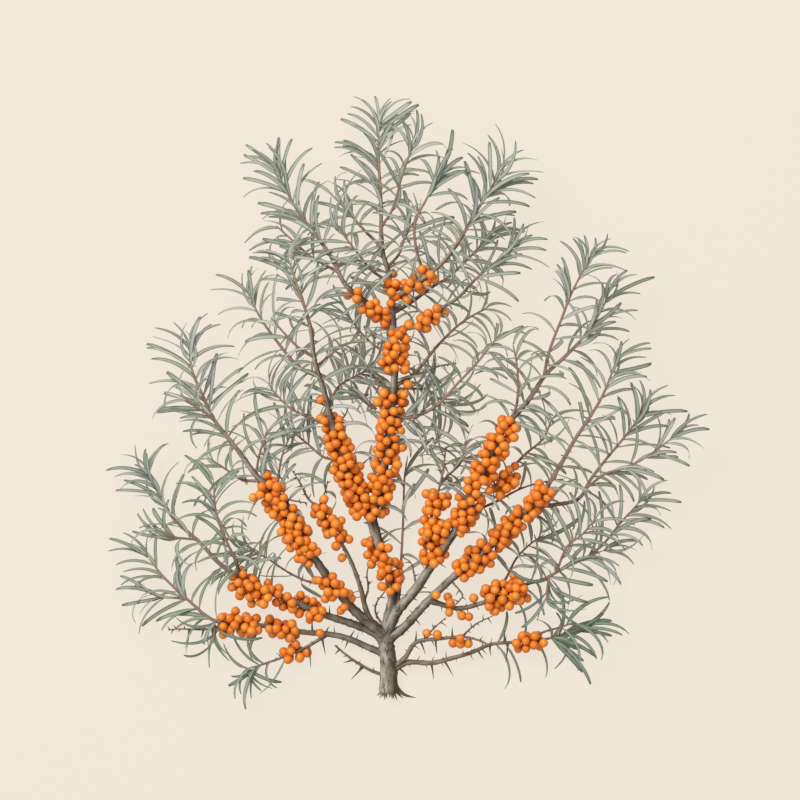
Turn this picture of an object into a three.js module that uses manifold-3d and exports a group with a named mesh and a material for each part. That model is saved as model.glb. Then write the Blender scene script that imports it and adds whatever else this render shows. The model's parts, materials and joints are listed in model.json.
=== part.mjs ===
// A cut sprig of sea buckthorn (Hippophae rhamnoides), lying on its side.
// Millimetres, +Z up. The origin is the middle of the small flat spot under the stem that it rests on;
// +Y runs from the cut foot to the top of the sprig, and everything stays above the surface at z = 0.
import * as THREE from 'three';
import { mergeVertices } from 'three/addons/utils/BufferGeometryUtils.js';
import Module from 'manifold-3d';

const wasm = await Module();
wasm.setup();

// ---- Driving dimensions ----
const BERRY_RADIUS = 3.8;
const BERRY_ROOT = 2.6; // from a berry's middle to its root, inside the core of the bunch
const BERRY_OUT = 5.7; // how far a berry stands out of the core
const BERRY_ROW = 18; // from one pair of berries to the next, a quarter turn on
const CORE_WALL = 1.2; // thinnest wall of the core round the branch
const CORE_DEPTH = 7.2; // from the outside of a bunch down to its core
const LEAF_LENGTH = 36;
const TIP_LEAF_LENGTH = 25;
const LEAF_HALF_WIDTH = 2;
const LEAF_HALF_THICKNESS = 0.55;
const LEAF_FLOOR = 0.9; // lowest height of a leaf's centre line
const THORN_RADIUS = 1.1;
const THORN_FLOOR = 1.4; // lowest height of a thorn's point
const SPINE_LENGTH = 6; // how far the small spines of a bare twig stand out
const STRETCH = 28; // length of one straight stretch of a stem
const GAP = 0.3; // air between two pieces that meet
const WELD = 0.001; // corners nearer to each other than this are one corner
const CLEARANCE = 0.5; // air kept between a leaf and anything it passes

const BARK = { color: '#7d7060', roughness: 0.92, metalness: 0 };
const LEAF = { color: '#8f9a8c', roughness: 0.7, metalness: 0 };
const BERRY = { color: '#f08a1f', roughness: 0.45, metalness: 0 };

// ---- Branches ----
// A branch leaves its parent at the first point of its path, at the parent's own height.
// thick: radius at the start and at the tip (or several, evenly spaced).
// leafyFrom: the place on the path, counted in points, where the young leafy stem begins.
const BRANCHES = [
  { name: 'leader', thick: [8.4, 6.9, 6.5, 5, 4.3, 4, 3.8, 3.6],
    path: [[1, -18, 6.6], [0, 12, 5.6], [-2, 29, 7.4], [1, 48, 10], [4, 63, 12], [2, 77, 14],
      [-3, 95, 16], [-8, 111, 18], [-14, 131, 20]] },
  { name: 'crown', from: 'leader', thick: [4.2, 0.8], leafyFrom: 7.3, leaves: 11,
    path: [[-14, 133], [-10, 148, 24], [-3, 178, 30], [2, 216, 35], [6, 258, 39], [5, 292, 41],
      [1, 337, 42], [-5, 362, 41], [-6, 402, 32], [-8, 439, 22], [-8, 472, 14]] },
  { name: 'crown_a', from: 'crown', thick: [1.2, 0.7], leafyFrom: 0, leaves: 7,
    path: [[-4, 379], [4, 395, 44], [12, 422, 50], [20, 445, 50], [22, 456, 48]] },
  { name: 'crown_b', from: 'crown', thick: [1.4, 0.7], leafyFrom: 1, leaves: 7,
    path: [[-7, 362], [-20, 377, 34], [-32, 391, 28], [-48, 408, 22]] },
  { name: 'crown_c', from: 'crown', thick: [1.4, 0.7], leafyFrom: 1, leaves: 6,
    path: [[-3, 332], [-14, 343, 50], [-28, 360, 54], [-43, 380, 56]] },
  { name: 'crown_d', from: 'crown', thick: [1.3, 0.7], leafyFrom: 1, leaves: 4,
    path: [[-1, 345], [9, 356, 36], [13, 367, 32], [21, 384, 27]] },
  { name: 'upper_right_a', from: 'crown', thick: [2.5, 0.8], leafyFrom: 4, leaves: 11,
    path: [[2, 316], [19, 328, 48], [37, 341, 53], [50, 353, 56], [63, 372, 59], [76, 394, 60],
      [88, 413, 57], [97, 430, 52]] },
  { name: 'upper_right_b', from: 'upper_right_a', thick: [1.4, 0.7], leafyFrom: 1, leaves: 9,
    path: [[31, 337], [24, 360, 56], [23, 382, 60], [33, 403, 63], [50, 434, 62]] },
  { name: 'upper_right_c', from: 'crown', thick: [1.8, 0.7], leafyFrom: 2, leaves: 8,
    path: [[4, 307], [17, 314, 36], [39, 330, 29], [51, 337, 26], [71, 356, 22], [88, 376, 18]] },
  { name: 'upper_right_d', from: 'crown', thick: [2.0, 0.7], leafyFrom: 4, leaves: 9,
    path: [[5, 292], [26, 296, 46], [45, 310, 49], [60, 320, 49], [73, 334, 46], [88, 347, 43],
      [107, 363, 38]] },
  { name: 'upper_right_e', from: 'crown', thick: [1.8, 0.7], leafyFrom: 3, leaves: 7,
    path: [[6, 245], [20, 253, 33], [30, 264, 29], [43, 280, 25], [63, 299, 21], [87, 313, 17]] },
  { name: 'upper_right_f', from: 'upper_right_e', thick: [1.1, 0.6],
    path: [[20, 253], [37, 259, 30], [44, 262, 27], [59, 264, 25]] },
  { name: 'upper_right_g', from: 'crown', thick: [1.6, 0.7], leafyFrom: 2, leaves: 7,
    path: [[3, 221], [19, 218, 41], [41, 228, 46], [60, 248, 48], [76, 265, 48], [97, 292, 44]] },
  { name: 'upper_right_h', from: 'crown', thick: [1.2, 0.6], leafyFrom: 1, leaves: 4,
    path: [[5, 243], [30, 242, 30], [39, 238, 25], [54, 224, 20]] },
  { name: 'upper_left_a', from: 'crown', thick: [2.4, 0.8], leafyFrom: 3, leaves: 11,
    path: [[3, 304], [-14, 313, 46], [-26, 322, 51], [-37, 332, 53], [-48, 354, 52], [-60, 371, 48],
      [-80, 399, 40], [-97, 433, 32]] },
  { name: 'upper_left_b', from: 'upper_left_a', thick: [1.3, 0.7], leafyFrom: 0, leaves: 6,
    path: [[-41, 341], [-51, 346, 44], [-65, 354, 36], [-76, 364, 30], [-96, 382, 22]] },
  { name: 'left_crown', from: 'leader', thick: [3.8, 0.8], leafyFrom: 7, leaves: 9,
    path: [[-14, 131], [-24, 148, 25], [-33, 167, 31], [-38, 184, 37], [-48, 216, 46], [-54, 240, 51],
      [-62, 267, 55], [-66, 297, 58], [-76, 328, 60], [-85, 355, 58]] },
  { name: 'left_crown_a', from: 'left_crown', thick: [1.8, 0.7], leafyFrom: 2, leaves: 10,
    path: [[-60, 252], [-71, 258, 48], [-80, 265, 42], [-93, 281, 34], [-108, 302, 28], [-120, 325, 22]]
      },
  { name: 'left_crown_b', from: 'left_crown', thick: [1.3, 0.7], leafyFrom: 1, leaves: 6,
    path: [[-62, 269], [-74, 276, 60], [-88, 290, 64], [-99, 303, 66]] },
  { name: 'left_crown_c', from: 'left_crown', thick: [1.4, 0.7], leafyFrom: 1, leaves: 6,
    path: [[-54, 207], [-64, 217, 38], [-83, 226, 31], [-98, 241, 25], [-102, 249, 22]] },
  { name: 'left_crown_d', from: 'left_crown', thick: [1.3, 0.7], leafyFrom: 1, leaves: 5,
    path: [[-42, 182], [-54, 184, 27], [-69, 196, 21], [-83, 207, 17]] },
  { name: 'left_crown_e', from: 'left_crown', thick: [1.2, 0.7], leafyFrom: 1, leaves: 4,
    path: [[-50, 230], [-42, 244, 41], [-37, 248, 35], [-26, 254, 30], [-14, 260, 27]] },
  { name: 'left_crown_f', from: 'left_crown', thick: [1.2, 0.7], leafyFrom: 1, leaves: 4,
    path: [[-61, 261], [-51, 269, 46], [-41, 277, 39], [-28, 284, 34]] },
  { name: 'left_crown_g', from: 'left_crown', thick: [1.0, 0.5],
    path: [[-47, 212], [-37, 219, 46], [-33, 228, 47]] },
  { name: 'middle_a', from: 'crown', thick: [1.3, 0.7], leafyFrom: 1, leaves: 6,
    path: [[6, 274], [-8, 277, 32], [-20, 287, 24], [-29, 298, 19], [-36, 309, 16]] },
  { name: 'middle_b', from: 'crown', thick: [1.0, 0.5],
    path: [[3, 240], [-7, 249, 34], [-15, 256, 32]] },
  { name: 'left_third', from: 'leader', thick: [4.4, 0.8], leafyFrom: 9, leaves: 11,
    path: [[-1, 32], [-14, 41, 15], [-29, 54, 22], [-43, 71, 30], [-57, 91, 38], [-69, 110, 45],
      [-83, 139, 52], [-95, 156, 55], [-110, 168, 56], [-127, 191, 55], [-146, 215, 52], [-156, 235, 47],
      [-166, 258, 40], [-168, 274, 34], [-167, 286, 28]] },
  { name: 'left_third_a', from: 'left_third', thick: [1.1, 0.7], leafyFrom: 0, leaves: 6,
    path: [[-146, 215], [-154, 222, 58], [-167, 231, 63], [-175, 239, 65]] },
  { name: 'left_third_b', from: 'left_third', thick: [1.4, 0.7], leafyFrom: 1, leaves: 6,
    path: [[-107, 165], [-122, 165, 47], [-131, 170, 40], [-145, 179, 33], [-153, 184, 29]] },
  { name: 'left_third_c', from: 'left_third', thick: [1.2, 0.7], leafyFrom: 1, leaves: 4,
    path: [[-111, 170], [-109, 185, 51], [-105, 199, 45], [-102, 209, 41]] },
  { name: 'left_third_d', from: 'left_third', thick: [1.2, 0.7], leafyFrom: 1, leaves: 4,
    path: [[-93, 154], [-92, 173, 45], [-89, 188, 36], [-83, 203, 29]] },
  { name: 'left_third_e', from: 'left_third', thick: [1.0, 0.5],
    path: [[-90, 151], [-80, 148, 58], [-67, 146, 60]] },
  { name: 'left_third_f', from: 'left_third', thick: [1.2, 0.6], leafyFrom: 3, leaves: 4,
    path: [[-50, 82], [-65, 78, 28], [-83, 85, 22], [-102, 97, 17], [-114, 103, 14], [-124, 105, 12]] },
  { name: 'left_inner', from: 'left_third', thick: [2.4, 0.7],
    path: [[-12, 40], [-19, 55, 20], [-23, 72, 27], [-31, 95, 33], [-41, 114, 37], [-49, 127, 39],
      [-59, 141, 41], [-68, 150, 42], [-74, 162, 43], [-81, 173, 43]] },
  { name: 'left_inner_a', from: 'left_inner', thick: [1.1, 0.5],
    path: [[-20, 61], [-17, 72, 20], [-18, 84, 18], [-16, 94, 17]] },
  { name: 'left_inner_b', from: 'left_inner', thick: [1.0, 0.5],
    path: [[-59, 141], [-53, 156, 36], [-51, 165, 33]] },
  { name: 'leader_twig', from: 'leader', thick: [1.2, 0.5],
    path: [[-2, 36], [-10, 49, 7], [-10, 59, 7], [-2, 70, 8]] },
  { name: 'left_second', from: 'leader', thick: [3.6, 0.8], leafyFrom: 6.5, leaves: 11,
    path: [[-2, 25], [-14, 35, 11], [-34, 43, 16], [-60, 52, 22], [-83, 63, 28], [-107, 72, 32],
      [-122, 80, 33], [-143, 94, 33], [-160, 112, 31], [-184, 134, 27], [-202, 166, 22], [-207, 176, 19]]
      },
  { name: 'left_second_a', from: 'left_second', thick: [1.1, 0.7], leafyFrom: 0, leaves: 6,
    path: [[-163, 115], [-178, 116, 37], [-188, 119, 42], [-196, 124, 45]] },
  { name: 'left_second_b', from: 'left_second', thick: [1.5, 0.7], leafyFrom: 1, leaves: 8,
    path: [[-125, 82], [-129, 97, 46], [-138, 118, 56], [-145, 139, 60], [-147, 167, 60]] },
  { name: 'left_low', from: 'leader', thick: [2.9, 0.8], leafyFrom: 5, leaves: 11,
    path: [[-1, 14], [-14, 20, 8], [-41, 31, 11], [-75, 35, 14], [-113, 41, 17], [-141, 43, 18],
      [-154, 48, 18], [-167, 59, 17], [-188, 78, 15], [-206, 99, 12]] },
  { name: 'left_low_a', from: 'left_low', thick: [1.1, 0.7], leafyFrom: 0, leaves: 4,
    path: [[-172, 63], [-184, 64, 13], [-196, 65, 10], [-211, 71, 8]] },
  { name: 'left_low_b', from: 'left_low', thick: [1.1, 0.7], leafyFrom: 0, leaves: 4,
    path: [[-148, 46], [-148, 36, 24], [-149, 25, 28]] },
  { name: 'left_low_c', from: 'left_low', thick: [1.2, 0.5],
    path: [[-134, 42], [-156, 37, 12], [-177, 37, 7], [-189, 36, 5]] },
  { name: 'left_low_d', from: 'left_low', thick: [1.6, 0.7], leafyFrom: 3, leaves: 7,
    path: [[-52, 31], [-66, 24, 12], [-82, 16, 12], [-107, 7, 9], [-121, 3, 7]] },
  { name: 'left_lowest', from: 'leader', thick: [1.6, 0.8],
    path: [[-1, -4], [-14, 1, 5], [-31, 11, 4.5], [-46, 23, 4]] },
  { name: 'right_fourth', from: 'leader', thick: [4.6, 0.8], leafyFrom: 9, leaves: 11,
    path: [[-1, 34], [8, 53, 19], [23, 71, 27], [41, 99, 36], [57, 122, 44], [67, 139, 49],
      [76, 161, 54], [87, 186, 57], [99, 210, 59], [118, 232, 59], [133, 254, 56], [149, 269, 52],
      [167, 288, 46], [184, 315, 38], [187, 326, 34]] },
  { name: 'right_fourth_a', from: 'right_fourth', thick: [1.4, 0.7], leafyFrom: 0, leaves: 9,
    path: [[132, 252], [136, 274, 61], [148, 306, 67], [156, 326, 69], [175, 362, 66]] },
  { name: 'right_fourth_b', from: 'right_fourth', thick: [1.3, 0.7], leafyFrom: 1, leaves: 5,
    path: [[105, 216], [109, 233, 64], [109, 258, 68], [105, 281, 69]] },
  { name: 'right_fourth_c', from: 'right_fourth', thick: [1.8, 0.6],
    path: [[39, 96], [35, 118, 38], [37, 135, 40], [41, 150, 41], [45, 165, 40], [48, 182, 37],
      [49, 194, 35]] },
  { name: 'right_fourth_d', from: 'right_fourth_c', thick: [1.1, 0.7], leafyFrom: 2, leaves: 4,
    path: [[44, 160], [49, 167, 37], [62, 180, 31], [66, 199, 27]] },
  { name: 'right_fourth_e', from: 'right_fourth', thick: [1.7, 0.7], leafyFrom: 2.7, leaves: 7,
    path: [[78, 163], [89, 165, 46], [99, 170, 40], [118, 188, 33], [132, 200, 28], [140, 218, 25]] },
  { name: 'right_fourth_f', from: 'right_fourth', thick: [1.4, 0.4],
    path: [[66, 138], [78, 141, 38], [91, 146, 30], [110, 156, 24], [127, 162, 21], [139, 164, 20],
      [152, 166, 20]] },
  { name: 'right_fourth_g', from: 'right_fourth', thick: [1.0, 0.5],
    path: [[24, 74], [20, 93, 22], [12, 99, 19]] },
  { name: 'right_fourth_h', from: 'right_fourth', thick: [1.4, 0.7], leafyFrom: 2, leaves: 7,
    path: [[8, 51], [10, 71, 13], [11, 91, 11], [13, 131, 9], [14, 165, 9], [17, 186, 9]] },
  { name: 'right_third', from: 'leader', thick: [3.9, 0.8], leafyFrom: 7.1, leaves: 11,
    path: [[0, 27], [14, 39, 12], [31, 58, 18], [52, 79, 25], [74, 97, 30], [95, 116, 35],
      [121, 142, 39], [135, 160, 41], [149, 183, 43], [158, 199, 44], [181, 235, 42], [195, 270, 37]] },
  { name: 'right_third_a', from: 'right_third', thick: [1.9, 0.7], leafyFrom: 2, leaves: 9,
    path: [[121, 142], [142, 144, 34], [162, 149, 31], [172, 165, 30], [185, 182, 30], [208, 210, 27],
      [218, 228, 24]] },
  { name: 'right_third_b', from: 'right_third_a', thick: [1.2, 0.7], leafyFrom: 0, leaves: 7,
    path: [[167, 158], [184, 170, 37], [199, 175, 41], [218, 184, 43], [241, 201, 43]] },
  { name: 'right_third_c', from: 'right_third', thick: [0.9, 0.5],
    path: [[53, 80], [63, 68, 30], [61, 63, 33], [56, 58, 35]] },
  { name: 'right_second', from: 'right_third', thick: [2.3, 0.8], leafyFrom: 6, leaves: 6,
    path: [[36, 62], [44, 59, 18], [60, 55, 17], [78, 59, 18], [99, 67, 20], [118, 76, 22],
      [132, 80, 23], [151, 90, 22], [173, 100, 19], [185, 105, 17]] },
  { name: 'right_second_a', from: 'right_second', thick: [1.2, 0.7], leafyFrom: 2, leaves: 4,
    path: [[91, 63], [102, 83, 14], [110, 98, 12], [122, 110, 10], [134, 118, 9]] },
  { name: 'right_second_b', from: 'right_second', thick: [1.2, 0.7], leafyFrom: 0, leaves: 5,
    path: [[143, 86], [152, 108, 32], [165, 119, 37], [178, 135, 40]] },
  { name: 'right_second_c', from: 'right_second', thick: [1.2, 0.7], leafyFrom: 0, leaves: 7,
    path: [[170, 99], [184, 110, 15], [198, 127, 12], [209, 139, 10], [216, 147, 9]] },
  { name: 'right_second_d', from: 'right_second', thick: [1.1, 0.7], leafyFrom: 0, leaves: 4,
    path: [[137, 82], [135, 70, 30], [135, 60, 34]] },
  { name: 'right_low', from: 'leader', thick: [2.4, 0.7],
    path: [[0, 2], [14, 12, 11], [24, 26, 15], [43, 29, 18], [63, 31, 21], [78, 28, 24], [88, 23, 26]]
      },
  { name: 'right_low_a', from: 'right_low', thick: [1.0, 0.4],
    path: [[63, 31], [71, 39, 24], [78, 44, 26], [91, 50, 28]] },
  { name: 'right_low_b', from: 'right_low', thick: [1.0, 0.4],
    path: [[31, 28], [38, 37, 18], [50, 48, 18]] },
  { name: 'right_lowest', from: 'leader', thick: [2.4, 0.8], leafyFrom: 7, leaves: 7,
    path: [[0, -2], [16, 8, 8], [37, 8, 10], [54, 12, 11], [71, 17, 12], [88, 24, 12], [107, 26, 13],
      [137, 29, 12], [160, 37, 10]] },
  { name: 'right_lowest_a', from: 'right_lowest', thick: [1.2, 0.7], leafyFrom: 2, leaves: 4,
    path: [[116, 26], [133, 35, 18], [146, 39, 22], [160, 44, 25]] },
];

// Bunches of berries: the stretches of branch that each one covers, counted in points of the path,
// and the bunch's outer radius there.
const BUNCHES = {
  berries_crown_top: [['crown', 5.3, 6.15, 10], ['upper_right_a', 0, 2.1, 9.5], ['upper_left_a', 0, 2.6, 8]],
  berries_upper_right: [['upper_right_d', 0.9, 2.1, 9.5]],
  berries_crown_high: [['crown', 3.95, 5.1, 12.5]],
  berries_middle: [['crown', 0.4, 3.8, 13], ['left_crown', 0.4, 2.7, 12.5], ['left_crown', 2.5, 4.1, 10.5]],
  berries_leader: [['leader', 4.9, 7.3, 12.5]],
  berries_left_third: [['left_third', 2.7, 8, 11]],
  berries_left_inner: [['left_inner', 3.8, 6.6, 9]],
  berries_left_second: [['left_second', 2.9, 6.35, 10]],
  berries_left_low: [['left_low', 3.1, 4.95, 11.5]],
  berries_left_low_side: [['left_low_d', 1.2, 2.5, 9.8]],
  berries_right_side_twig: [['right_fourth_c', 0, 3.3, 10]],
  berries_right_fourth: [['right_fourth', 4, 8.5, 12]],
  berries_right_fourth_side: [['right_fourth_e', 1.1, 2.4, 9]],
  berries_right_third: [['right_third', 3.4, 6.95, 11]],
  berries_right_second: [['right_second', 3.2, 5, 13.5]],
  berries_right_low: [['right_low', 3.5, 4.5, 9.2]],
  berries_right_lowest: [['right_lowest', 6.05, 6.9, 10.5]],
};

// Thorns seen one by one: branch, foot and point on the plan.
const THORNS = [
  ['left_lowest', [-22, 3], [-33, -8]],
  ['left_low_d', [-66, 20], [-66, 3]],
  ['left_low_d', [-54, 26], [-53, 14]],
  ['left_lowest', [-41, 20], [-46, 15]],
  ['left_lowest', [-31, 10], [-39, 8]],
  ['right_lowest', [37, 8], [39, -7]],
  ['right_lowest', [48, 9], [56, -4]],
  ['right_lowest', [10, 2], [17, -4]],
  ['right_lowest', [88, 22], [88, 14]],
  ['right_lowest', [102, 24], [100, 8]],
  ['right_lowest', [99, 25], [99, 37]],
  ['right_lowest', [78, 17], [82, 11]],
  ['right_low', [24, 25], [24, 37]],
  ['right_low', [28, 25], [32, 15]],
  ['right_low', [41, 27], [42, 15]],
  ['right_low', [55, 31], [55, 40]],
  ['right_third', [22, 48], [28, 40]],
  ['right_fourth', [20, 64], [26, 62]],
  ['right_fourth', [27, 74], [34, 73]],
  ['leader', [-7, 117], [1, 121]],
  ['leader', [-6, 109], [4, 115]],
  ['leader', [5, 68], [15, 66]],
  ['left_low', [-33, 29], [-28, 37]],
  ['left_low', [-34, 28], [-37, 20]],
  ['left_low', [-53, 32], [-50, 40]],
  ['left_low', [-65, 35], [-65, 48]],
  ['left_second', [-49, 51], [-50, 58]],
  ['left_low_c', [-170, 37], [-172, 19]],
  ['left_low_c', [-158, 37], [-160, 29]],
  ['right_third', [83, 104], [78, 86]],
  ['right_fourth', [56, 121], [65, 116]],
  ['right_fourth', [42, 97], [50, 90]],
];

// Bare spiny twigs: how many small spines each one bears, between two points of its path.
const SPINY = [
  ['left_low_c', 0.5, 3, 2],
  ['left_inner', 6.8, 9, 2],
  ['left_third_f', 0.4, 2.8, 2],
  ['upper_right_f', 0.6, 3, 2],
  ['right_fourth_c', 3.6, 6, 2],
  ['right_fourth_f', 1.4, 6, 2],
  ['right_low', 0.8, 6, 2],
  ['right_lowest', 0.9, 5.8, 2],
];

// ---- Solids ----
function solidOf(geometry) {
  geometry.deleteAttribute('normal');
  geometry.deleteAttribute('uv');
  const merged = mergeVertices(geometry, 1e-4);
  return new wasm.Manifold(new wasm.Mesh({
    numProp: 3,
    vertProperties: merged.attributes.position.array,
    triVerts: new Uint32Array(merged.index.array),
  }));
}

function joinAll(solids) {
  return solids.reduce((whole, solid) => whole.add(solid));
}

// The largest of a solid's separate bodies: a loose scrap is left out.
function largestBody(solid) {
  return solid.decompose().reduce((best, body) => (body.volume() > best.volume() ? body : best));
}

// A named mesh of a solid. Corners closer than WELD are made one, and the slivers between them go.
function meshOf(name, solid, look) {
  const { vertProperties, triVerts } = solid.getMesh();
  const raw = new THREE.BufferGeometry();
  raw.setAttribute('position', new THREE.BufferAttribute(vertProperties, 3));
  raw.setIndex(Array.from(triVerts));
  const geometry = mergeVertices(raw, WELD);
  const corners = Array.from(geometry.index.array);
  const whole = [];
  for (let i = 0; i < corners.length; i += 3) {
    const [a, b, c] = corners.slice(i, i + 3);
    if (a !== b && b !== c && c !== a) whole.push(a, b, c);
  }
  geometry.setIndex(whole);
  geometry.computeVertexNormals();
  const mesh = new THREE.Mesh(geometry, new THREE.MeshStandardMaterial(look));
  mesh.name = name;
  return mesh;
}

// Moves every vertex of a three.js geometry to place(x, y, z) and makes the result a solid.
function reshape(geometry, place) {
  const position = geometry.attributes.position;
  for (let i = 0; i < position.count; i += 1) {
    const point = place(position.getX(i), position.getY(i), position.getZ(i));
    position.setXYZ(i, point.x, point.y, point.z);
  }
  return solidOf(geometry);
}

// ---- Seeded random draws ----
function randomFrom(seed) {
  let state = seed;
  return () => {
    state = (state + 0x6d2b79f5) | 0;
    let mixed = Math.imul(state ^ (state >>> 15), 1 | state);
    mixed = (mixed + Math.imul(mixed ^ (mixed >>> 7), 61 | mixed)) ^ mixed;
    return ((mixed ^ (mixed >>> 14)) >>> 0) / 4294967296;
  };
}

function around(random, middle, spread) {
  return middle + (random() * 2 - 1) * spread;
}

// ---- Branch geometry ----
const UP = new THREE.Vector3(0, 0, 1);
const LENGTH_STEPS = 400; // steps in which a curve's length is measured
const FOOT_STEPS = 200; // places on a parent tried for the foot of a branch

// The direction square to a frame's forward, turned from its side (0) over its top (a quarter turn).
function outwardAt(frame, turn) {
  return frame.side.clone().multiplyScalar(Math.cos(turn)).addScaledVector(frame.over, Math.sin(turn));
}

// A branch is a chain of straight stretches between knots on a smooth curve through its path.
function makeBranch(entry, branches) {
  const parent = branches.get(entry.from);
  const points = entry.path.map(([x, y, z = 0]) => new THREE.Vector3(x, y, z));
  if (parent) points[0].copy(parent.nearest(points[0]));
  const curve = new THREE.CatmullRomCurve3(points, false, 'catmullrom', 0.5);
  const lengths = curve.getLengths(LENGTH_STEPS);
  const length = lengths[LENGTH_STEPS];
  const stretches = Math.max(1, Math.round(length / STRETCH));
  const knots = Array.from({ length: stretches + 1 }, (unused, i) => {
    const forward = curve.getTangentAt(i / stretches);
    const side = new THREE.Vector3().crossVectors(forward, UP).normalize();
    const over = new THREE.Vector3().crossVectors(side, forward);
    return { point: curve.getPointAt(i / stretches), forward, side, over };
  });
  const branch = { ...entry, length, stretches };
  // The share of the length at a place counted in points of the path.
  branch.shareAt = (place) => lengths[Math.round(place / (points.length - 1) * LENGTH_STEPS)] / length;
  branch.radiusAt = (share) => {
    const at = Math.min(share, 0.9999) * (entry.thick.length - 1);
    const index = Math.floor(at);
    return THREE.MathUtils.lerp(entry.thick[index], entry.thick[index + 1], at - index);
  };
  branch.frameAt = (share) => {
    const at = THREE.MathUtils.clamp(share, 0, 0.99999) * stretches;
    const index = Math.floor(at);
    const next = knots[index + 1];
    return Object.fromEntries(Object.entries(knots[index]).map(([key, vector]) => (
      [key, vector.clone().lerp(next[key], at - index)]
    )));
  };
  branch.nearest = (target) => {
    const shares = Array.from({ length: FOOT_STEPS + 1 }, (unused, i) => i / FOOT_STEPS);
    const distance = (point) => Math.hypot(point.x - target.x, point.y - target.y);
    return shares.map((share) => branch.frameAt(share).point)
      .reduce((best, point) => (distance(point) < distance(best) ? point : best));
  };
  branch.leafyShare = entry.leafyFrom === undefined ? 1 : branch.shareAt(entry.leafyFrom);
  return branch;
}

// A tube along part of a branch: a cylinder's rings set square to it at each knot, at radiusAt(share).
function tube(branch, from, to, sides, radiusAt, turn = 0) {
  const inside = Array.from({ length: branch.stretches }, (unused, i) => i / branch.stretches)
    .filter((share) => share > from + 1e-4 && share < to - 1e-4);
  const shares = [from, ...inside, to];
  const rings = new THREE.CylinderGeometry(1, 1, 1, sides, shares.length - 1, false, turn);
  return reshape(rings, (x, y, z) => {
    const share = shares[Math.round((y + 0.5) * (shares.length - 1))];
    const { point, side, over } = branch.frameAt(share);
    const radius = radiusAt(share);
    return point.addScaledVector(side, x * radius).addScaledVector(over, z * radius);
  });
}

// Sides of a stem, by the radius at its foot; the young leafy stems have three.
function sidesOf(branch) {
  const radius = branch.radiusAt(0);
  if (radius > 5) return 6;
  if (radius > 3.2) return 5;
  return radius > 1.9 ? 4 : 3;
}

function stem(branch, from, to, sides = sidesOf(branch), extra = 0) {
  return tube(branch, from, to, sides, (share) => branch.radiusAt(share) + extra);
}

// ---- What is already taken, as capsules, so that each leaf can be bent clear ----
const taken = [];

function take(owner, a, b, radius) {
  taken.push({ owner, a, b, radius });
}

function takeTube(owner, branch, from, to) {
  const count = Math.max(1, Math.ceil((to - from) * branch.length / 8));
  for (let i = 0; i < count; i += 1) {
    const start = THREE.MathUtils.lerp(from, to, i / count);
    const end = THREE.MathUtils.lerp(from, to, (i + 1) / count);
    take(owner, branch.frameAt(start).point, branch.frameAt(end).point, branch.radiusAt(start));
  }
}

// Shortest distance between the segments a-b and c-d.
function segmentDistance(a, b, c, d) {
  const ab = b.clone().sub(a);
  const cd = d.clone().sub(c);
  const ca = a.clone().sub(c);
  const abab = ab.dot(ab);
  const cdcd = cd.dot(cd) || 1e-9;
  const abcd = ab.dot(cd);
  const cross = abab * cdcd - abcd * abcd;
  let s = cross > 1e-9 ? (abcd * cd.dot(ca) - ab.dot(ca) * cdcd) / cross : 0;
  s = THREE.MathUtils.clamp(s, 0, 1);
  const t = THREE.MathUtils.clamp((abcd * s + cd.dot(ca)) / cdcd, 0, 1);
  s = THREE.MathUtils.clamp((abcd * t - ab.dot(ca)) / (abab || 1e-9), 0, 1);
  return a.clone().addScaledVector(ab, s).distanceTo(c.clone().addScaledVector(cd, t));
}

// ---- Wood ----
const FLOOR_WIDTH = 900;
const FLOOR_DEPTH = 40;

// A pointed cone from foot to tip.
function spike(foot, tip, radius, sides) {
  const forward = tip.clone().sub(foot);
  const side = new THREE.Vector3().crossVectors(forward, UP).normalize();
  const over = new THREE.Vector3().crossVectors(side, forward).normalize();
  return reshape(new THREE.ConeGeometry(radius, 1, sides, 1), (x, y, z) => (
    foot.clone().addScaledVector(forward, y + 0.5).addScaledVector(side, x).addScaledVector(over, z)
  ));
}

// Foot and tip of every thorn.
function thornPlaces(branches) {
  const random = randomFrom(11);
  const places = THORNS.map(([name, [footX, footY], [tipX, tipY]]) => {
    const foot = branches.get(name).nearest(new THREE.Vector3(footX, footY, 0));
    return [foot, new THREE.Vector3(tipX, tipY, foot.z + around(random, 2, 3))];
  });
  for (const [name, from, to, count] of SPINY) {
    const branch = branches.get(name);
    for (let i = 0; i < count; i += 1) {
      const share = THREE.MathUtils.lerp(branch.shareAt(from), branch.shareAt(to), (i + 0.5) / count);
      const frame = branch.frameAt(share);
      const elevation = around(random, 0.5, 0.7);
      const outward = outwardAt(frame, i % 2 ? Math.PI - Math.abs(elevation) : Math.abs(elevation));
      const reach = branch.radiusAt(share) + around(random, SPINE_LENGTH, 2);
      const leaning = outward.addScaledVector(frame.forward, 0.4);
      places.push([frame.point, frame.point.clone().addScaledVector(leaning, reach)]);
    }
  }
  for (const [, tip] of places) tip.z = Math.max(tip.z, THORN_FLOOR);
  return places;
}

// The torn heel at the foot of the stem, splinter by splinter: foot, point, radius.
const HEEL = [
  [[3, -8, 4.5], [24, -20, 2.2], 4.2],
  [[-3, -8, 5], [-11, -20, 3], 3.6],
  [[0, -10, 8], [6, -24, 9], 4],
];

function heel() {
  return HEEL.map(([foot, tip, radius]) => (
    spike(new THREE.Vector3(...foot), new THREE.Vector3(...tip), radius, 5)
  ));
}

// Everything below the surface that the sprig lies on.
function belowSurface() {
  const block = new THREE.BoxGeometry(FLOOR_WIDTH, FLOOR_WIDTH, FLOOR_DEPTH);
  block.translate(0, FLOOR_WIDTH / 4, -FLOOR_DEPTH / 2);
  return solidOf(block);
}

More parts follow.
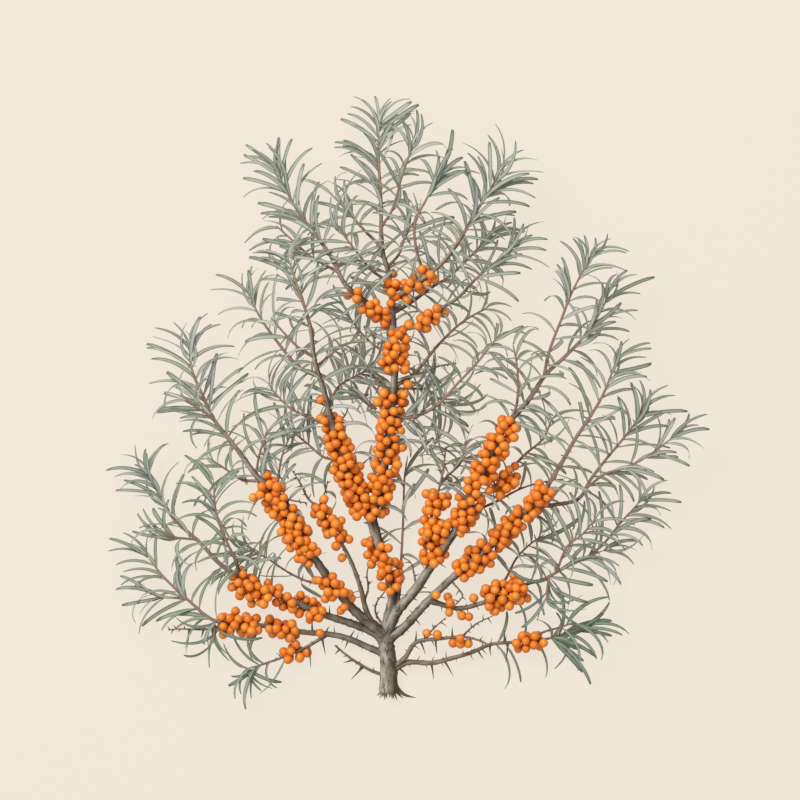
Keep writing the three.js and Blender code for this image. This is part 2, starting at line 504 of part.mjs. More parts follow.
function woodSolid(branches, thorns) {
  const solids = heel();
  for (const branch of branches.values()) {
    const end = branch.leafyShare - (branch.leafyFrom === undefined ? 0 : GAP / 2 / branch.length);
    if (end <= 0) continue;
    solids.push(stem(branch, 0, end));
    takeTube('wood', branch, 0, end);
  }
  for (const [foot, tip] of thorns) {
    solids.push(spike(foot, tip, THORN_RADIUS, 3));
    take('wood', foot, tip, THORN_RADIUS);
  }
  return joinAll(solids).subtract(belowSurface());
}

// ---- Berries ----
const CORE_SIDES = 4; // one flat upward, one down and one to each side
const CORE_TURN = Math.PI / CORE_SIDES; // from the middle of a flat of the core to its corner
const FACET = Math.cos(CORE_TURN); // middle of a flat of the core, as a share of its radius
const BERRY_TURN = Math.PI / 4; // the upper ring of a berry's corners stands between the lower ones
const BERRY_CORNER = BERRY_RADIUS * 1.04; // the corners stand out past the faces, so that both give the size
const BERRY_FLOOR = BERRY_RADIUS + 0.5; // lowest height of a berry's middle

// A round berry of sixteen faces whose lowest corner is its root.
function berrySolid(centre, outward, spin) {
  const axis = new THREE.Vector3(0, 1, 0);
  const turned = new THREE.Quaternion().setFromUnitVectors(axis, outward);
  return reshape(new THREE.SphereGeometry(BERRY_CORNER, 4, 3), (x, y, z) => (
    new THREE.Vector3(x, Math.max(y, -BERRY_ROOT), z)
      .applyAxisAngle(axis, spin + (y > 0 ? BERRY_TURN : 0)).applyQuaternion(turned).add(centre)
  ));
}

// A bunch: a slim core round each stretch of branch, and pairs of berries that stand well out of it.
function bunchSolid(name, stretches, branches, random) {
  const parts = [];
  for (const [on, from, to, outerRadius] of stretches) {
    const branch = branches.get(on);
    const start = branch.shareAt(from);
    const end = branch.shareAt(to);
    const flatAt = (share) => Math.max(outerRadius - CORE_DEPTH, branch.radiusAt(share) + GAP + CORE_WALL);
    parts.push(tube(branch, start, end, CORE_SIDES, (share) => flatAt(share) / FACET, CORE_TURN));
    const rows = Math.max(2, Math.round((end - start) * branch.length / BERRY_ROW));
    for (let row = 0; row < rows; row += 1) {
      const shares = [0, 0.5, 1].map((part) => THREE.MathUtils.lerp(start, end, (row + part) / rows));
      const [before, here, after] = shares.map((share) => branch.frameAt(share));
      take(name, before.point, after.point, flatAt(shares[0]) / FACET);
      for (let flank = row % 2; flank < CORE_SIDES; flank += 2) {
        const outward = outwardAt(here, (flank + 1) / CORE_SIDES * 2 * Math.PI);
        const reach = flatAt(shares[1]) + BERRY_OUT - BERRY_RADIUS + around(random, -0.1, 0.3);
        const centre = here.point.clone().addScaledVector(outward, reach);
        if (centre.z < BERRY_FLOOR) continue;
        parts.push(berrySolid(centre, outward, random() * Math.PI));
        take(name, centre, centre.clone().addScaledVector(UP, 0.01), BERRY_RADIUS);
      }
    }
  }
  return joinAll(parts);
}

const STEM_ROOM = GAP * 1.6; // corner to corner, so that flat to flat it is still the gap
const THORN_ROOM = GAP * 3;
const THORN_PAST = 0.2; // how far the room runs on past a thorn's point, as a share of its length

// Every stem and thorn, fattened by the gap, so that the bunches can be cut to let them through.
function woodRoom(branches, thorns) {
  const room = [...branches.values()].map((branch) => stem(branch, 0, 1, sidesOf(branch), STEM_ROOM));
  for (const [foot, tip] of thorns) {
    const past = tip.clone().lerp(foot, -THORN_PAST);
    room.push(spike(foot, past, THORN_RADIUS + THORN_ROOM, 3));
  }
  return joinAll(room);
}

// ---- Leaves ----
const KEEL_BELOW = Math.PI * 1.5; // where a blade's three corners start, so that one is its keel
const LEAF_TRIES = 14;
const LEAF_ROOT = 1.2; // how near two leaves of one shoot may pass, counted from touching
const FIRST_LEAF = 4; // from the foot of a shoot to the start of its leaves
const SPLAY = { low: 1.0, high: 0.28, spread: 0.12 }; // angle between leaf and stem at its foot and tip
const RECURVE = { middle: 0.3, spread: 0.25 }; // how much further out a leaf's outer half turns
const ELEVATIONS = [-0.5, 0.35, 0.9, -0.1, 0.6, -0.8, 0.15]; // how far a leaf rises from level, in turn
const FACING = { side: 0.5, along: 0.3, lean: 0.5 }; // how far a blade's face is turned from straight up

// A leaf's foot, middle and tip.
function leafLine(frame, turn, splay, length, recurve) {
  const outward = outwardAt(frame, turn);
  const direction = (angle) => frame.forward.clone().multiplyScalar(Math.cos(angle))
    .addScaledVector(outward, Math.sin(angle));
  const middle = frame.point.clone().addScaledVector(direction(splay), length / 2);
  const tip = middle.clone().addScaledVector(direction(splay + recurve), length / 2);
  const line = new THREE.QuadraticBezierCurve3(frame.point, middle, tip);
  return [0, 0.5, 1].map((share) => {
    const point = line.getPoint(share);
    point.z = Math.max(point.z, LEAF_FLOOR);
    return point;
  });
}

// Whether a leaf along these points passes clear of all that is taken; its own foot is on its own stem.
function isClear(owner, points) {
  for (let i = 0; i < points.length - 1; i += 1) {
    const a = points[i];
    const b = points[i + 1];
    for (const other of taken) {
      if (other.owner === owner && (!other.leaf || i === 0)) continue;
      const room = LEAF_HALF_WIDTH + other.radius + (other.owner === owner ? -LEAF_ROOT : CLEARANCE);
      const reach = room + a.distanceTo(b) + other.a.distanceTo(other.b);
      if (a.distanceTo(other.a) > reach) continue;
      if (segmentDistance(a, b, other.a, other.b) < room) return false;
    }
  }
  return true;
}

// A narrow blade, flat above and keeled below, pointed at both ends, that turns its face upward.
function bladeSolid([foot, middle, tip], facing) {
  const forward = tip.clone().sub(foot);
  const side = new THREE.Vector3().crossVectors(forward, facing).normalize();
  const over = new THREE.Vector3().crossVectors(side, forward).normalize();
  return reshape(new THREE.SphereGeometry(1, 3, 2, KEEL_BELOW), (x, y, z) => {
    const centre = [foot, middle, tip][Math.round(y) + 1].clone();
    return centre.addScaledVector(side, x * LEAF_HALF_WIDTH / Math.cos(Math.PI / 6))
      .addScaledVector(over, z * LEAF_HALF_THICKNESS);
  });
}

// The leaves of a shoot, to each side in turn; one that isn't clear is bent, and shortened a little.
function leaves(name, branch, start, random) {
  const solids = [];
  for (let i = 0; i < branch.leaves; i += 1) {
    const upTheStem = (i + 0.7) / branch.leaves;
    const share = THREE.MathUtils.lerp(start + FIRST_LEAF / branch.length, 0.995, upTheStem);
    const frame = branch.frameAt(share);
    const fullLength = THREE.MathUtils.lerp(LEAF_LENGTH, TIP_LEAF_LENGTH, upTheStem ** 3);
    const length = fullLength * around(random, 0.97, 0.08);
    const angle = THREE.MathUtils.lerp(SPLAY.low, SPLAY.high, upTheStem ** 1.5);
    const tilt = ELEVATIONS[i % ELEVATIONS.length];
    for (let attempt = 0; attempt < LEAF_TRIES; attempt += 1) {
      const wander = attempt * 0.13;
      const elevation = around(random, tilt, 0.1 + wander);
      const turn = i % 2 ? Math.PI - elevation : elevation;
      const splay = around(random, angle, SPLAY.spread + wander * 0.3);
      const recurve = around(random, RECURVE.middle, RECURVE.spread);
      const points = leafLine(frame, turn, splay, length * (1 - attempt * 0.02), recurve);
      if (!isClear(name, points)) continue;
      const facing = new THREE.Vector3(around(random, 0, FACING.side), around(random, 0, FACING.along), 1)
        .addScaledVector(frame.forward, FACING.lean).normalize();
      solids.push(bladeSolid(points, facing));
      for (let k = 0; k < points.length - 1; k += 1) {
        taken.push({ owner: name, leaf: true, a: points[k], b: points[k + 1], radius: LEAF_HALF_WIDTH });
      }
      break;
    }
  }
  return solids;
}

// ---- The sprig ----
function build() {
  const branches = new Map();
  for (const entry of BRANCHES) branches.set(entry.name, makeBranch(entry, branches));
  const sprig = new THREE.Group();
  const thorns = thornPlaces(branches);
  sprig.add(meshOf('wood', woodSolid(branches, thorns), BARK));

  // A shoot whose foot is on another shoot's leafy stem grows in one piece with it.
  const shoots = new Map();
  for (const branch of branches.values()) {
    if (branch.leafyFrom === undefined) continue;
    const arm = { branch, start: branch.leafyShare };
    if (branch.leafyFrom === 0) {
      arm.owner = shoots.get(branch.from).owner;
    } else {
      arm.owner = `shoot_${branch.name}`;
      arm.start += GAP / 2 / branch.length;
    }
    shoots.set(branch.name, arm);
    takeTube(arm.owner, branch, arm.start, 1);
  }

  const room = woodRoom(branches, thorns);
  const random = randomFrom(5);
  const bunches = Object.entries(BUNCHES).map(([name, stretches]) => (
    [name, bunchSolid(name, stretches, branches, random)]
  ));
  for (const [name, solid] of bunches) sprig.add(meshOf(name, largestBody(solid.subtract(room)), BERRY));

  const pieces = new Map();
  for (const { branch, start, owner } of shoots.values()) {
    const parts = [stem(branch, start, 1, 3), ...leaves(owner, branch, start, random)];
    pieces.set(owner, [...(pieces.get(owner) ?? []), ...parts]);
  }
  for (const [name, parts] of pieces) sprig.add(meshOf(name, joinAll(parts), LEAF));
  return sprig;
}

export default build();
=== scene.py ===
"""A cut sprig of sea buckthorn, laid on a pale floor: its wood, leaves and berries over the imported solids."""

import json
import math
import random

import bpy
from mathutils import Matrix, Vector, noise
from mathutils.kdtree import KDTree

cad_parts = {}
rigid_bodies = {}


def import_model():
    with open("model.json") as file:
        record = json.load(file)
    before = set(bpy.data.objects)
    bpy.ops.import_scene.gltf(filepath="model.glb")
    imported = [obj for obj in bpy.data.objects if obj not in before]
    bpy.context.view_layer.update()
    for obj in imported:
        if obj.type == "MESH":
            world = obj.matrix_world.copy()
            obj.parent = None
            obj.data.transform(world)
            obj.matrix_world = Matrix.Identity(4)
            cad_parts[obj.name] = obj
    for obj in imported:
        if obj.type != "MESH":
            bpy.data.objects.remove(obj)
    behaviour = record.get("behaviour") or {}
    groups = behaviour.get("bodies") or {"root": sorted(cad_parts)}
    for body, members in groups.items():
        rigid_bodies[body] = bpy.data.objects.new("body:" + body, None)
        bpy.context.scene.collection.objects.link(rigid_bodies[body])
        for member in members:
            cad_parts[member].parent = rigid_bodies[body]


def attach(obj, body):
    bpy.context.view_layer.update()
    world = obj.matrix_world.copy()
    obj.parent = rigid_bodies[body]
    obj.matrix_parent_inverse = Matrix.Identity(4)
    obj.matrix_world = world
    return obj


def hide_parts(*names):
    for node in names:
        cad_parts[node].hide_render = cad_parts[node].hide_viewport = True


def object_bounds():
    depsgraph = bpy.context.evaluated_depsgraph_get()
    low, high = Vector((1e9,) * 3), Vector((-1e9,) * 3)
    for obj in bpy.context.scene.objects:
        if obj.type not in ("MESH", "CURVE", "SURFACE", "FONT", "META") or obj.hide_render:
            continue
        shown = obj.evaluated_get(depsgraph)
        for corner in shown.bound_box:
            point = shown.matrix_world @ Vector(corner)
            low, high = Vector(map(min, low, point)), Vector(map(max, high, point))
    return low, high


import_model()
SOLIDS_BOX = [[float(value) for value in corner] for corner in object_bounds()]

bl_info = {
    "name": "Sea buckthorn sprig",
    "version": (1, 0, 0),
    "blender": (4, 5, 0),
    "location": "3D View > Sidebar > Sprig",
    "description": "Dresses the solids of a sea buckthorn sprig with bark, thorns, leaves and berries",
    "category": "Object",
}

MM = 0.001
UP = Vector((0, 0, 1))
BODY = "root"

# ---- The sprig's plan, in millimetres on the surface that it lies on ----
# name, parent, radii from foot to tip, where its young leafy stem starts (counted in points), path.
# A path's first point is on the parent, at the parent's height.
BRANCHES = (
    ("leader", "", (8.4, 6.9, 6.5, 5, 4.3, 4, 4.1, 4.7), None, (
        (1, -18, 6.6), (0, 12, 5.6), (-2, 29, 7.4), (1, 48, 10), (4, 63, 12), (2, 77, 14),
        (-3, 95, 16), (-8, 111, 18), (-14, 131, 20))),
    ("crown", "leader", (4.2, 0.8), 7.3, (
        (-14, 133), (-10, 148, 24), (-3, 178, 30), (2, 216, 35), (6, 258, 39), (5, 292, 41),
        (1, 337, 42), (-5, 362, 41), (-6, 402, 32), (-8, 439, 22), (-8, 472, 14))),
    ("crown_a", "crown", (1.2, 0.7), 0, (
        (-4, 379), (4, 395, 44), (12, 422, 50), (20, 445, 50), (22, 456, 48))),
    ("crown_b", "crown", (1.4, 0.7), 1, (
        (-7, 362), (-20, 377, 34), (-32, 391, 28), (-48, 408, 22))),
    ("crown_c", "crown", (1.4, 0.7), 1, (
        (-3, 332), (-14, 343, 50), (-28, 360, 54), (-43, 380, 56))),
    ("crown_d", "crown", (1.3, 0.7), 1, (
        (-1, 345), (9, 356, 36), (13, 367, 32), (21, 384, 27))),
    ("upper_right_a", "crown", (2.5, 0.8), 4, (
        (2, 316), (19, 328, 48), (37, 341, 53), (50, 353, 56), (63, 372, 59), (76, 394, 60),
        (88, 413, 57), (97, 430, 52))),
    ("upper_right_b", "upper_right_a", (1.4, 0.7), 1, (
        (31, 337), (24, 360, 56), (23, 382, 60), (33, 403, 63), (50, 434, 62))),
    ("upper_right_c", "crown", (1.8, 0.7), 2, (
        (4, 307), (17, 314, 36), (39, 330, 29), (51, 337, 26), (71, 356, 22), (88, 376, 18))),
    ("upper_right_d", "crown", (2.0, 0.7), 4, (
        (5, 292), (26, 296, 46), (45, 310, 49), (60, 320, 49), (73, 334, 46), (88, 347, 43),
        (107, 363, 38))),
    ("upper_right_e", "crown", (1.8, 0.7), 3, (
        (6, 245), (20, 253, 33), (30, 264, 29), (43, 280, 25), (63, 299, 21), (87, 313, 17))),
    ("upper_right_f", "upper_right_e", (1.1, 0.6), None, (
        (20, 253), (37, 259, 30), (44, 262, 27), (59, 264, 25))),
    ("upper_right_g", "crown", (1.6, 0.7), 2, (
        (3, 221), (19, 218, 41), (41, 228, 46), (60, 248, 48), (76, 265, 48), (97, 292, 44))),
    ("upper_right_h", "crown", (1.2, 0.6), 1, (
        (5, 243), (30, 242, 30), (39, 238, 25), (54, 224, 20))),
    ("upper_left_a", "crown", (2.4, 0.8), 3, (
        (3, 304), (-14, 313, 46), (-26, 322, 51), (-37, 332, 53), (-48, 354, 52), (-60, 371, 48),
        (-80, 399, 40), (-97, 433, 32))),
    ("upper_left_b", "upper_left_a", (1.3, 0.7), 0, (
        (-41, 341), (-51, 346, 44), (-65, 354, 36), (-76, 364, 30), (-96, 382, 22))),
    ("left_crown", "leader", (3.8, 0.8), 7, (
        (-14, 131), (-24, 148, 25), (-33, 167, 31), (-38, 184, 37), (-48, 216, 46),
        (-54, 240, 51), (-62, 267, 55), (-66, 297, 58), (-76, 328, 60), (-85, 355, 58))),
    ("left_crown_a", "left_crown", (1.8, 0.7), 2, (
        (-60, 252), (-71, 258, 48), (-80, 265, 42), (-93, 281, 34), (-108, 302, 28),
        (-120, 325, 22))),
    ("left_crown_b", "left_crown", (1.3, 0.7), 1, (
        (-62, 269), (-74, 276, 60), (-88, 290, 64), (-99, 303, 66))),
    ("left_crown_c", "left_crown", (1.4, 0.7), 1, (
        (-54, 207), (-64, 217, 38), (-83, 226, 31), (-98, 241, 25), (-102, 249, 22))),
    ("left_crown_d", "left_crown", (1.3, 0.7), 1, (
        (-42, 182), (-54, 184, 27), (-69, 196, 21), (-83, 207, 17))),
    ("left_crown_e", "left_crown", (1.2, 0.7), 1, (
        (-50, 230), (-42, 244, 41), (-37, 248, 35), (-26, 254, 30), (-14, 260, 27))),
    ("left_crown_f", "left_crown", (1.2, 0.7), 1, (
        (-61, 261), (-51, 269, 46), (-41, 277, 39), (-28, 284, 34))),
    ("left_crown_g", "left_crown", (1.0, 0.5), None, (
        (-47, 212), (-37, 219, 46), (-33, 228, 47))),
    ("middle_a", "crown", (1.3, 0.7), 1, (
        (6, 274), (-8, 277, 32), (-20, 287, 24), (-29, 298, 19), (-36, 309, 16))),
    ("middle_b", "crown", (1.0, 0.5), None, (
        (3, 240), (-7, 249, 34), (-15, 256, 32))),
    ("left_third", "leader", (4.4, 0.8), 9, (
        (-1, 32), (-14, 41, 15), (-29, 54, 22), (-43, 71, 30), (-57, 91, 38), (-69, 110, 45),
        (-83, 139, 52), (-95, 156, 55), (-110, 168, 56), (-127, 191, 55), (-146, 215, 52),
        (-156, 235, 47), (-166, 258, 40), (-168, 274, 34), (-167, 286, 28))),
    ("left_third_a", "left_third", (1.1, 0.7), 0, (
        (-146, 215), (-154, 222, 58), (-167, 231, 63), (-175, 239, 65))),
    ("left_third_b", "left_third", (1.4, 0.7), 1, (
        (-107, 165), (-122, 165, 47), (-131, 170, 40), (-145, 179, 33), (-153, 184, 29))),
    ("left_third_c", "left_third", (1.2, 0.7), 1, (
        (-111, 170), (-109, 185, 51), (-105, 199, 45), (-102, 209, 41))),
    ("left_third_d", "left_third", (1.2, 0.7), 1, (
        (-93, 154), (-92, 173, 45), (-89, 188, 36), (-83, 203, 29))),
    ("left_third_e", "left_third", (1.0, 0.5), None, (
        (-90, 151), (-80, 148, 58), (-67, 146, 60))),
    ("left_third_f", "left_third", (1.2, 0.6), 3, (
        (-50, 82), (-65, 78, 28), (-83, 85, 22), (-102, 97, 17), (-114, 103, 14),
        (-124, 105, 12))),
    ("left_inner", "left_third", (2.4, 0.7), None, (
        (-12, 40), (-19, 55, 20), (-23, 72, 27), (-31, 95, 33), (-41, 114, 37), (-49, 127, 39),
        (-59, 141, 41), (-68, 150, 42), (-74, 162, 43), (-81, 173, 43))),
    ("left_inner_a", "left_inner", (1.1, 0.5), None, (
        (-20, 61), (-17, 72, 20), (-18, 84, 18), (-16, 94, 17))),
    ("left_inner_b", "left_inner", (1.0, 0.5), None, (
        (-59, 141), (-53, 156, 36), (-51, 165, 33))),
    ("leader_twig", "leader", (1.2, 0.5), None, (
        (-2, 36), (-10, 49, 7), (-10, 59, 7), (-2, 70, 8))),
    ("left_second", "leader", (3.6, 0.8), 6.5, (
        (-2, 25), (-14, 35, 11), (-34, 43, 16), (-60, 52, 22), (-83, 63, 28), (-107, 72, 32),
        (-122, 80, 33), (-143, 94, 33), (-160, 112, 31), (-184, 134, 27), (-202, 166, 22),
        (-207, 176, 19))),
    ("left_second_a", "left_second", (1.1, 0.7), 0, (
        (-163, 115), (-178, 116, 37), (-188, 119, 42), (-196, 124, 45))),
    ("left_second_b", "left_second", (1.5, 0.7), 1, (
        (-125, 82), (-129, 97, 46), (-138, 118, 56), (-145, 139, 60), (-147, 167, 60))),
    ("left_low", "leader", (2.9, 0.8), 5, (
        (-1, 14), (-14, 20, 8), (-41, 31, 11), (-75, 35, 14), (-113, 41, 17), (-141, 43, 18),
        (-154, 48, 18), (-167, 59, 17), (-188, 78, 15), (-206, 99, 12))),
    ("left_low_a", "left_low", (1.1, 0.7), 0, (
        (-172, 63), (-184, 64, 13), (-196, 65, 10), (-211, 71, 8))),
    ("left_low_b", "left_low", (1.1, 0.7), 0, (
        (-148, 46), (-148, 36, 24), (-149, 25, 28))),
    ("left_low_c", "left_low", (1.2, 0.5), None, (
        (-134, 42), (-156, 37, 12), (-177, 37, 7), (-189, 36, 5))),
    ("left_low_d", "left_low", (1.6, 0.7), 3, (
        (-52, 31), (-66, 24, 12), (-82, 16, 12), (-107, 7, 9), (-121, 3, 7))),
    ("left_lowest", "leader", (1.6, 0.8), None, (
        (-1, -4), (-14, 1, 5), (-31, 11, 4.5), (-46, 23, 4))),
    ("right_fourth", "leader", (4.6, 0.8), 9, (
        (-1, 34), (8, 53, 19), (23, 71, 27), (41, 99, 36), (57, 122, 44), (67, 139, 49),
        (76, 161, 54), (87, 186, 57), (99, 210, 59), (118, 232, 59), (133, 254, 56),
        (149, 269, 52), (167, 288, 46), (184, 315, 38), (187, 326, 34))),
    ("right_fourth_a", "right_fourth", (1.4, 0.7), 0, (
        (132, 252), (136, 274, 61), (148, 306, 67), (156, 326, 69), (175, 362, 66))),
    ("right_fourth_b", "right_fourth", (1.3, 0.7), 1, (
        (105, 216), (109, 233, 64), (109, 258, 68), (105, 281, 69))),
    ("right_fourth_c", "right_fourth", (1.8, 0.6), None, (
        (39, 96), (35, 118, 38), (37, 135, 40), (41, 150, 41), (45, 165, 40), (48, 182, 37),
        (49, 194, 35))),
    ("right_fourth_d", "right_fourth_c", (1.1, 0.7), 2, (
        (44, 160), (49, 167, 37), (62, 180, 31), (66, 199, 27))),
    ("right_fourth_e", "right_fourth", (1.7, 0.7), 2.7, (
        (78, 163), (89, 165, 46), (99, 170, 40), (118, 188, 33), (132, 200, 28), (140, 218, 25))),
    ("right_fourth_f", "right_fourth", (1.4, 0.4), None, (
        (66, 138), (78, 141, 38), (91, 146, 30), (110, 156, 24), (127, 162, 21), (139, 164, 20),
        (152, 166, 20))),
    ("right_fourth_g", "right_fourth", (1.0, 0.5), None, (
        (24, 74), (20, 93, 22), (12, 99, 19))),
    ("right_fourth_h", "right_fourth", (1.4, 0.7), 2, (
        (8, 51), (10, 71, 13), (11, 91, 11), (13, 131, 9), (14, 165, 9), (17, 186, 9))),
    ("right_third", "leader", (3.9, 0.8), 7.1, (
        (0, 27), (14, 39, 12), (31, 58, 18), (52, 79, 25), (74, 97, 30), (95, 116, 35),
        (121, 142, 39), (135, 160, 41), (149, 183, 43), (158, 199, 44), (181, 235, 42),
        (195, 270, 37))),
    ("right_third_a", "right_third", (1.9, 0.7), 2, (
        (121, 142), (142, 144, 34), (162, 149, 31), (172, 165, 30), (185, 182, 30),
        (208, 210, 27), (218, 228, 24))),
    ("right_third_b", "right_third_a", (1.2, 0.7), 0, (
        (167, 158), (184, 170, 37), (199, 175, 41), (218, 184, 43), (241, 201, 43))),
    ("right_third_c", "right_third", (0.9, 0.5), None, (
        (53, 80), (63, 68, 30), (61, 63, 33), (56, 58, 35))),
    ("right_second", "right_third", (2.3, 0.8), 6, (
        (36, 62), (44, 59, 18), (60, 55, 17), (78, 59, 18), (99, 67, 20), (118, 76, 22),
        (132, 80, 23), (151, 90, 22), (173, 100, 19), (185, 105, 17))),
    ("right_second_a", "right_second", (1.2, 0.7), 2, (
        (91, 63), (102, 83, 14), (110, 98, 12), (122, 110, 10), (134, 118, 9))),
    ("right_second_b", "right_second", (1.2, 0.7), 0, (
        (143, 86), (152, 108, 32), (165, 119, 37), (178, 135, 40))),
    ("right_second_c", "right_second", (1.2, 0.7), 0, (
        (170, 99), (184, 110, 15), (198, 127, 12), (209, 139, 10), (216, 147, 9))),
    ("right_second_d", "right_second", (1.1, 0.7), 0, (
        (137, 82), (135, 70, 30), (135, 60, 34))),
    ("right_low", "leader", (2.4, 0.7), None, (
        (0, 2), (14, 12, 11), (24, 26, 15), (43, 29, 18), (63, 31, 21), (78, 28, 24),
        (88, 23, 26))),
    ("right_low_a", "right_low", (1.0, 0.4), None, (
        (63, 31), (71, 39, 24), (78, 44, 26), (91, 50, 28))),
    ("right_low_b", "right_low", (1.0, 0.4), None, (
        (31, 28), (38, 37, 18), (50, 48, 18))),
    ("right_lowest", "leader", (2.4, 0.8), 7, (
        (0, -2), (16, 8, 8), (37, 8, 10), (54, 12, 11), (71, 17, 12), (88, 24, 12),
        (107, 26, 13), (137, 29, 12), (160, 37, 10))),
    ("right_lowest_a", "right_lowest", (1.2, 0.7), 2, (
        (116, 26), (133, 35, 18), (146, 39, 22), (160, 44, 25))),
)

# The stretches of branch that each bunch covers, counted in points, its outer radius there, and how far
# its middle is off the branch, to the right and up the plan.
BUNCHES = {
    "berries_crown_top": (("crown", 5.45, 6.1, 9.5, 0, 0), ("upper_right_a", 0.3, 1.9, 10.5, 1, 0),
                          ("upper_left_a", 0.1, 1.5, 10, -1, -4), ("upper_left_a", 1.9, 2.6, 7, -2, 0)),
    "berries_upper_right": (("upper_right_d", 1.0, 2.0, 8.5, 2, -2),),
    "berries_crown_high": (("crown", 4.0, 4.7, 14, 0, 0), ("crown", 4.7, 5.1, 10, 7, 2)),
    "berries_middle": (("crown", 0.9, 3.55, 14.6, 1, 0), ("left_crown", 0.4, 2.7, 16, -1, 0),
                       ("left_crown", 2.7, 4.1, 13, -1, 1), ("crown", 0.2, 0.9, 9, 5, 0)),
    "berries_leader": (("leader", 5.9, 7.1, 9.5, -7, 0), ("leader", 4.9, 5.9, 9.5, 7, 2),
                       ("leader", 4.6, 5.3, 8, -5, 0)),
    "berries_left_third": (("left_third", 2.9, 3.75, 10.5, -5, -2), ("left_third", 4.4, 5.3, 11.5, -5, -3),
                           ("left_third", 5.3, 7.7, 14, -3, -3)),
    "berries_left_inner": (("left_inner", 4.6, 6.2, 12.5, 1, 0), ("left_inner", 3.8, 4.6, 9.5, 4, 1)),
    "berries_left_second": (("left_second", 2.9, 4.5, 11.5, 0, -1), ("left_second", 4.7, 6.35, 14, -2, -4)),
    "berries_left_low": (("left_low", 3.1, 3.7, 11, 0, 0), ("left_low", 3.9, 5.0, 13, -2, 0)),
    "berries_left_low_side": (("left_low_d", 1.3, 2.3, 9.5, 0, 0),),
    "berries_right_side_twig": (
        ("right_fourth_c", 0.2, 2, 14, 2, -5), ("right_fourth_c", 2, 3.4, 11.5, 0, 0)),
    "berries_right_fourth": (("right_fourth", 4, 6.1, 14.2, -1, 0), ("right_fourth", 6.1, 8.3, 12.8, 1, -1)),
    "berries_right_fourth_side": (("right_fourth_e", 1.1, 2.4, 11.5, 1, -7),),
    "berries_right_third": (("right_third", 3.4, 4.6, 13, 0, 0), ("right_third", 4.6, 6.95, 13, 0, -1)),
    "berries_right_second": (("right_second", 3.3, 4.9, 14.5, 0, 0),),
    "berries_right_low": (("right_low", 3.6, 4.4, 9.5, 0, -4),),
    "berries_right_lowest": (("right_lowest", 6.1, 6.85, 11, 0, 0),),
}
BERRY_PIECES = {
    "berries_upper": ("berries_crown_top", "berries_upper_right", "berries_crown_high"),
    "berries_centre": ("berries_middle", "berries_leader"),
    "berries_left": ("berries_left_third", "berries_left_inner", "berries_left_second",
                     "berries_left_low", "berries_left_low_side"),
    "berries_right": ("berries_right_side_twig", "berries_right_fourth", "berries_right_fourth_side",
                      "berries_right_third", "berries_right_second", "berries_right_low",
                      "berries_right_lowest"),
}

# Berries that sit alone on a branch: branch, place on the plan.
LONE_BERRIES = (
    ("left_third", (-45, 82)), ("left_inner", (-33, 68)), ("left_inner", (-31, 64)),
    ("left_third", (-40, 54)), ("left_third", (-37, 57)), ("left_inner", (-39, 99)),
    ("left_inner", (-30, 110)), ("left_low", (-58, 34)), ("leader", (9, 73)),
    ("right_third", (41, 67)), ("right_second", (51, 65)), ("right_second", (53, 60)),
    ("right_second", (73, 64)), ("right_low", (33, 34)), ("right_low", (42, 33)),
    ("right_second", (52, 52)), ("right_second", (63, 49)), ("right_second", (69, 48)),
    ("left_second", (-132, 83)), ("upper_right_d", (32, 300)), ("left_crown", (-57, 233)),
    ("crown", (12, 241)), ("crown", (17, 246)), ("left_low", (-72, 12)),
)

# Thorns placed one by one: branch, foot and point on the plan.
THORNS = (
    ("left_lowest", (-22, 3), (-33, -8)), ("left_low_d", (-66, 20), (-66, 3)),
    ("left_low_d", (-54, 26), (-53, 14)), ("left_lowest", (-41, 20), (-46, 15)),
    ("left_lowest", (-31, 10), (-39, 8)), ("right_lowest", (37, 8), (39, -7)),
    ("right_lowest", (48, 9), (56, -4)), ("right_lowest", (10, 2), (17, -4)),
    ("right_lowest", (88, 22), (88, 14)), ("right_lowest", (102, 24), (100, 8)),
    ("right_lowest", (99, 25), (99, 37)), ("right_lowest", (78, 17), (82, 11)),
    ("right_low", (24, 25), (24, 37)), ("right_low", (28, 25), (32, 15)),
    ("right_low", (41, 27), (42, 15)), ("right_low", (55, 31), (55, 40)),
    ("right_third", (22, 48), (28, 40)), ("right_fourth", (20, 64), (26, 62)),
    ("right_fourth", (27, 74), (34, 73)), ("leader", (-7, 117), (1, 121)),
    ("leader", (-6, 109), (4, 115)), ("leader", (5, 68), (15, 66)),
    ("left_low", (-33, 29), (-28, 37)), ("left_low", (-34, 28), (-37, 20)),
    ("left_low", (-53, 32), (-50, 40)), ("left_low", (-65, 35), (-65, 48)),
    ("left_second", (-49, 51), (-50, 58)), ("left_low_c", (-170, 37), (-172, 19)),
    ("left_low_c", (-158, 37), (-160, 29)), ("right_third", (83, 104), (78, 86)),
    ("right_fourth", (56, 121), (65, 116)), ("right_fourth", (42, 97), (50, 90)),
)
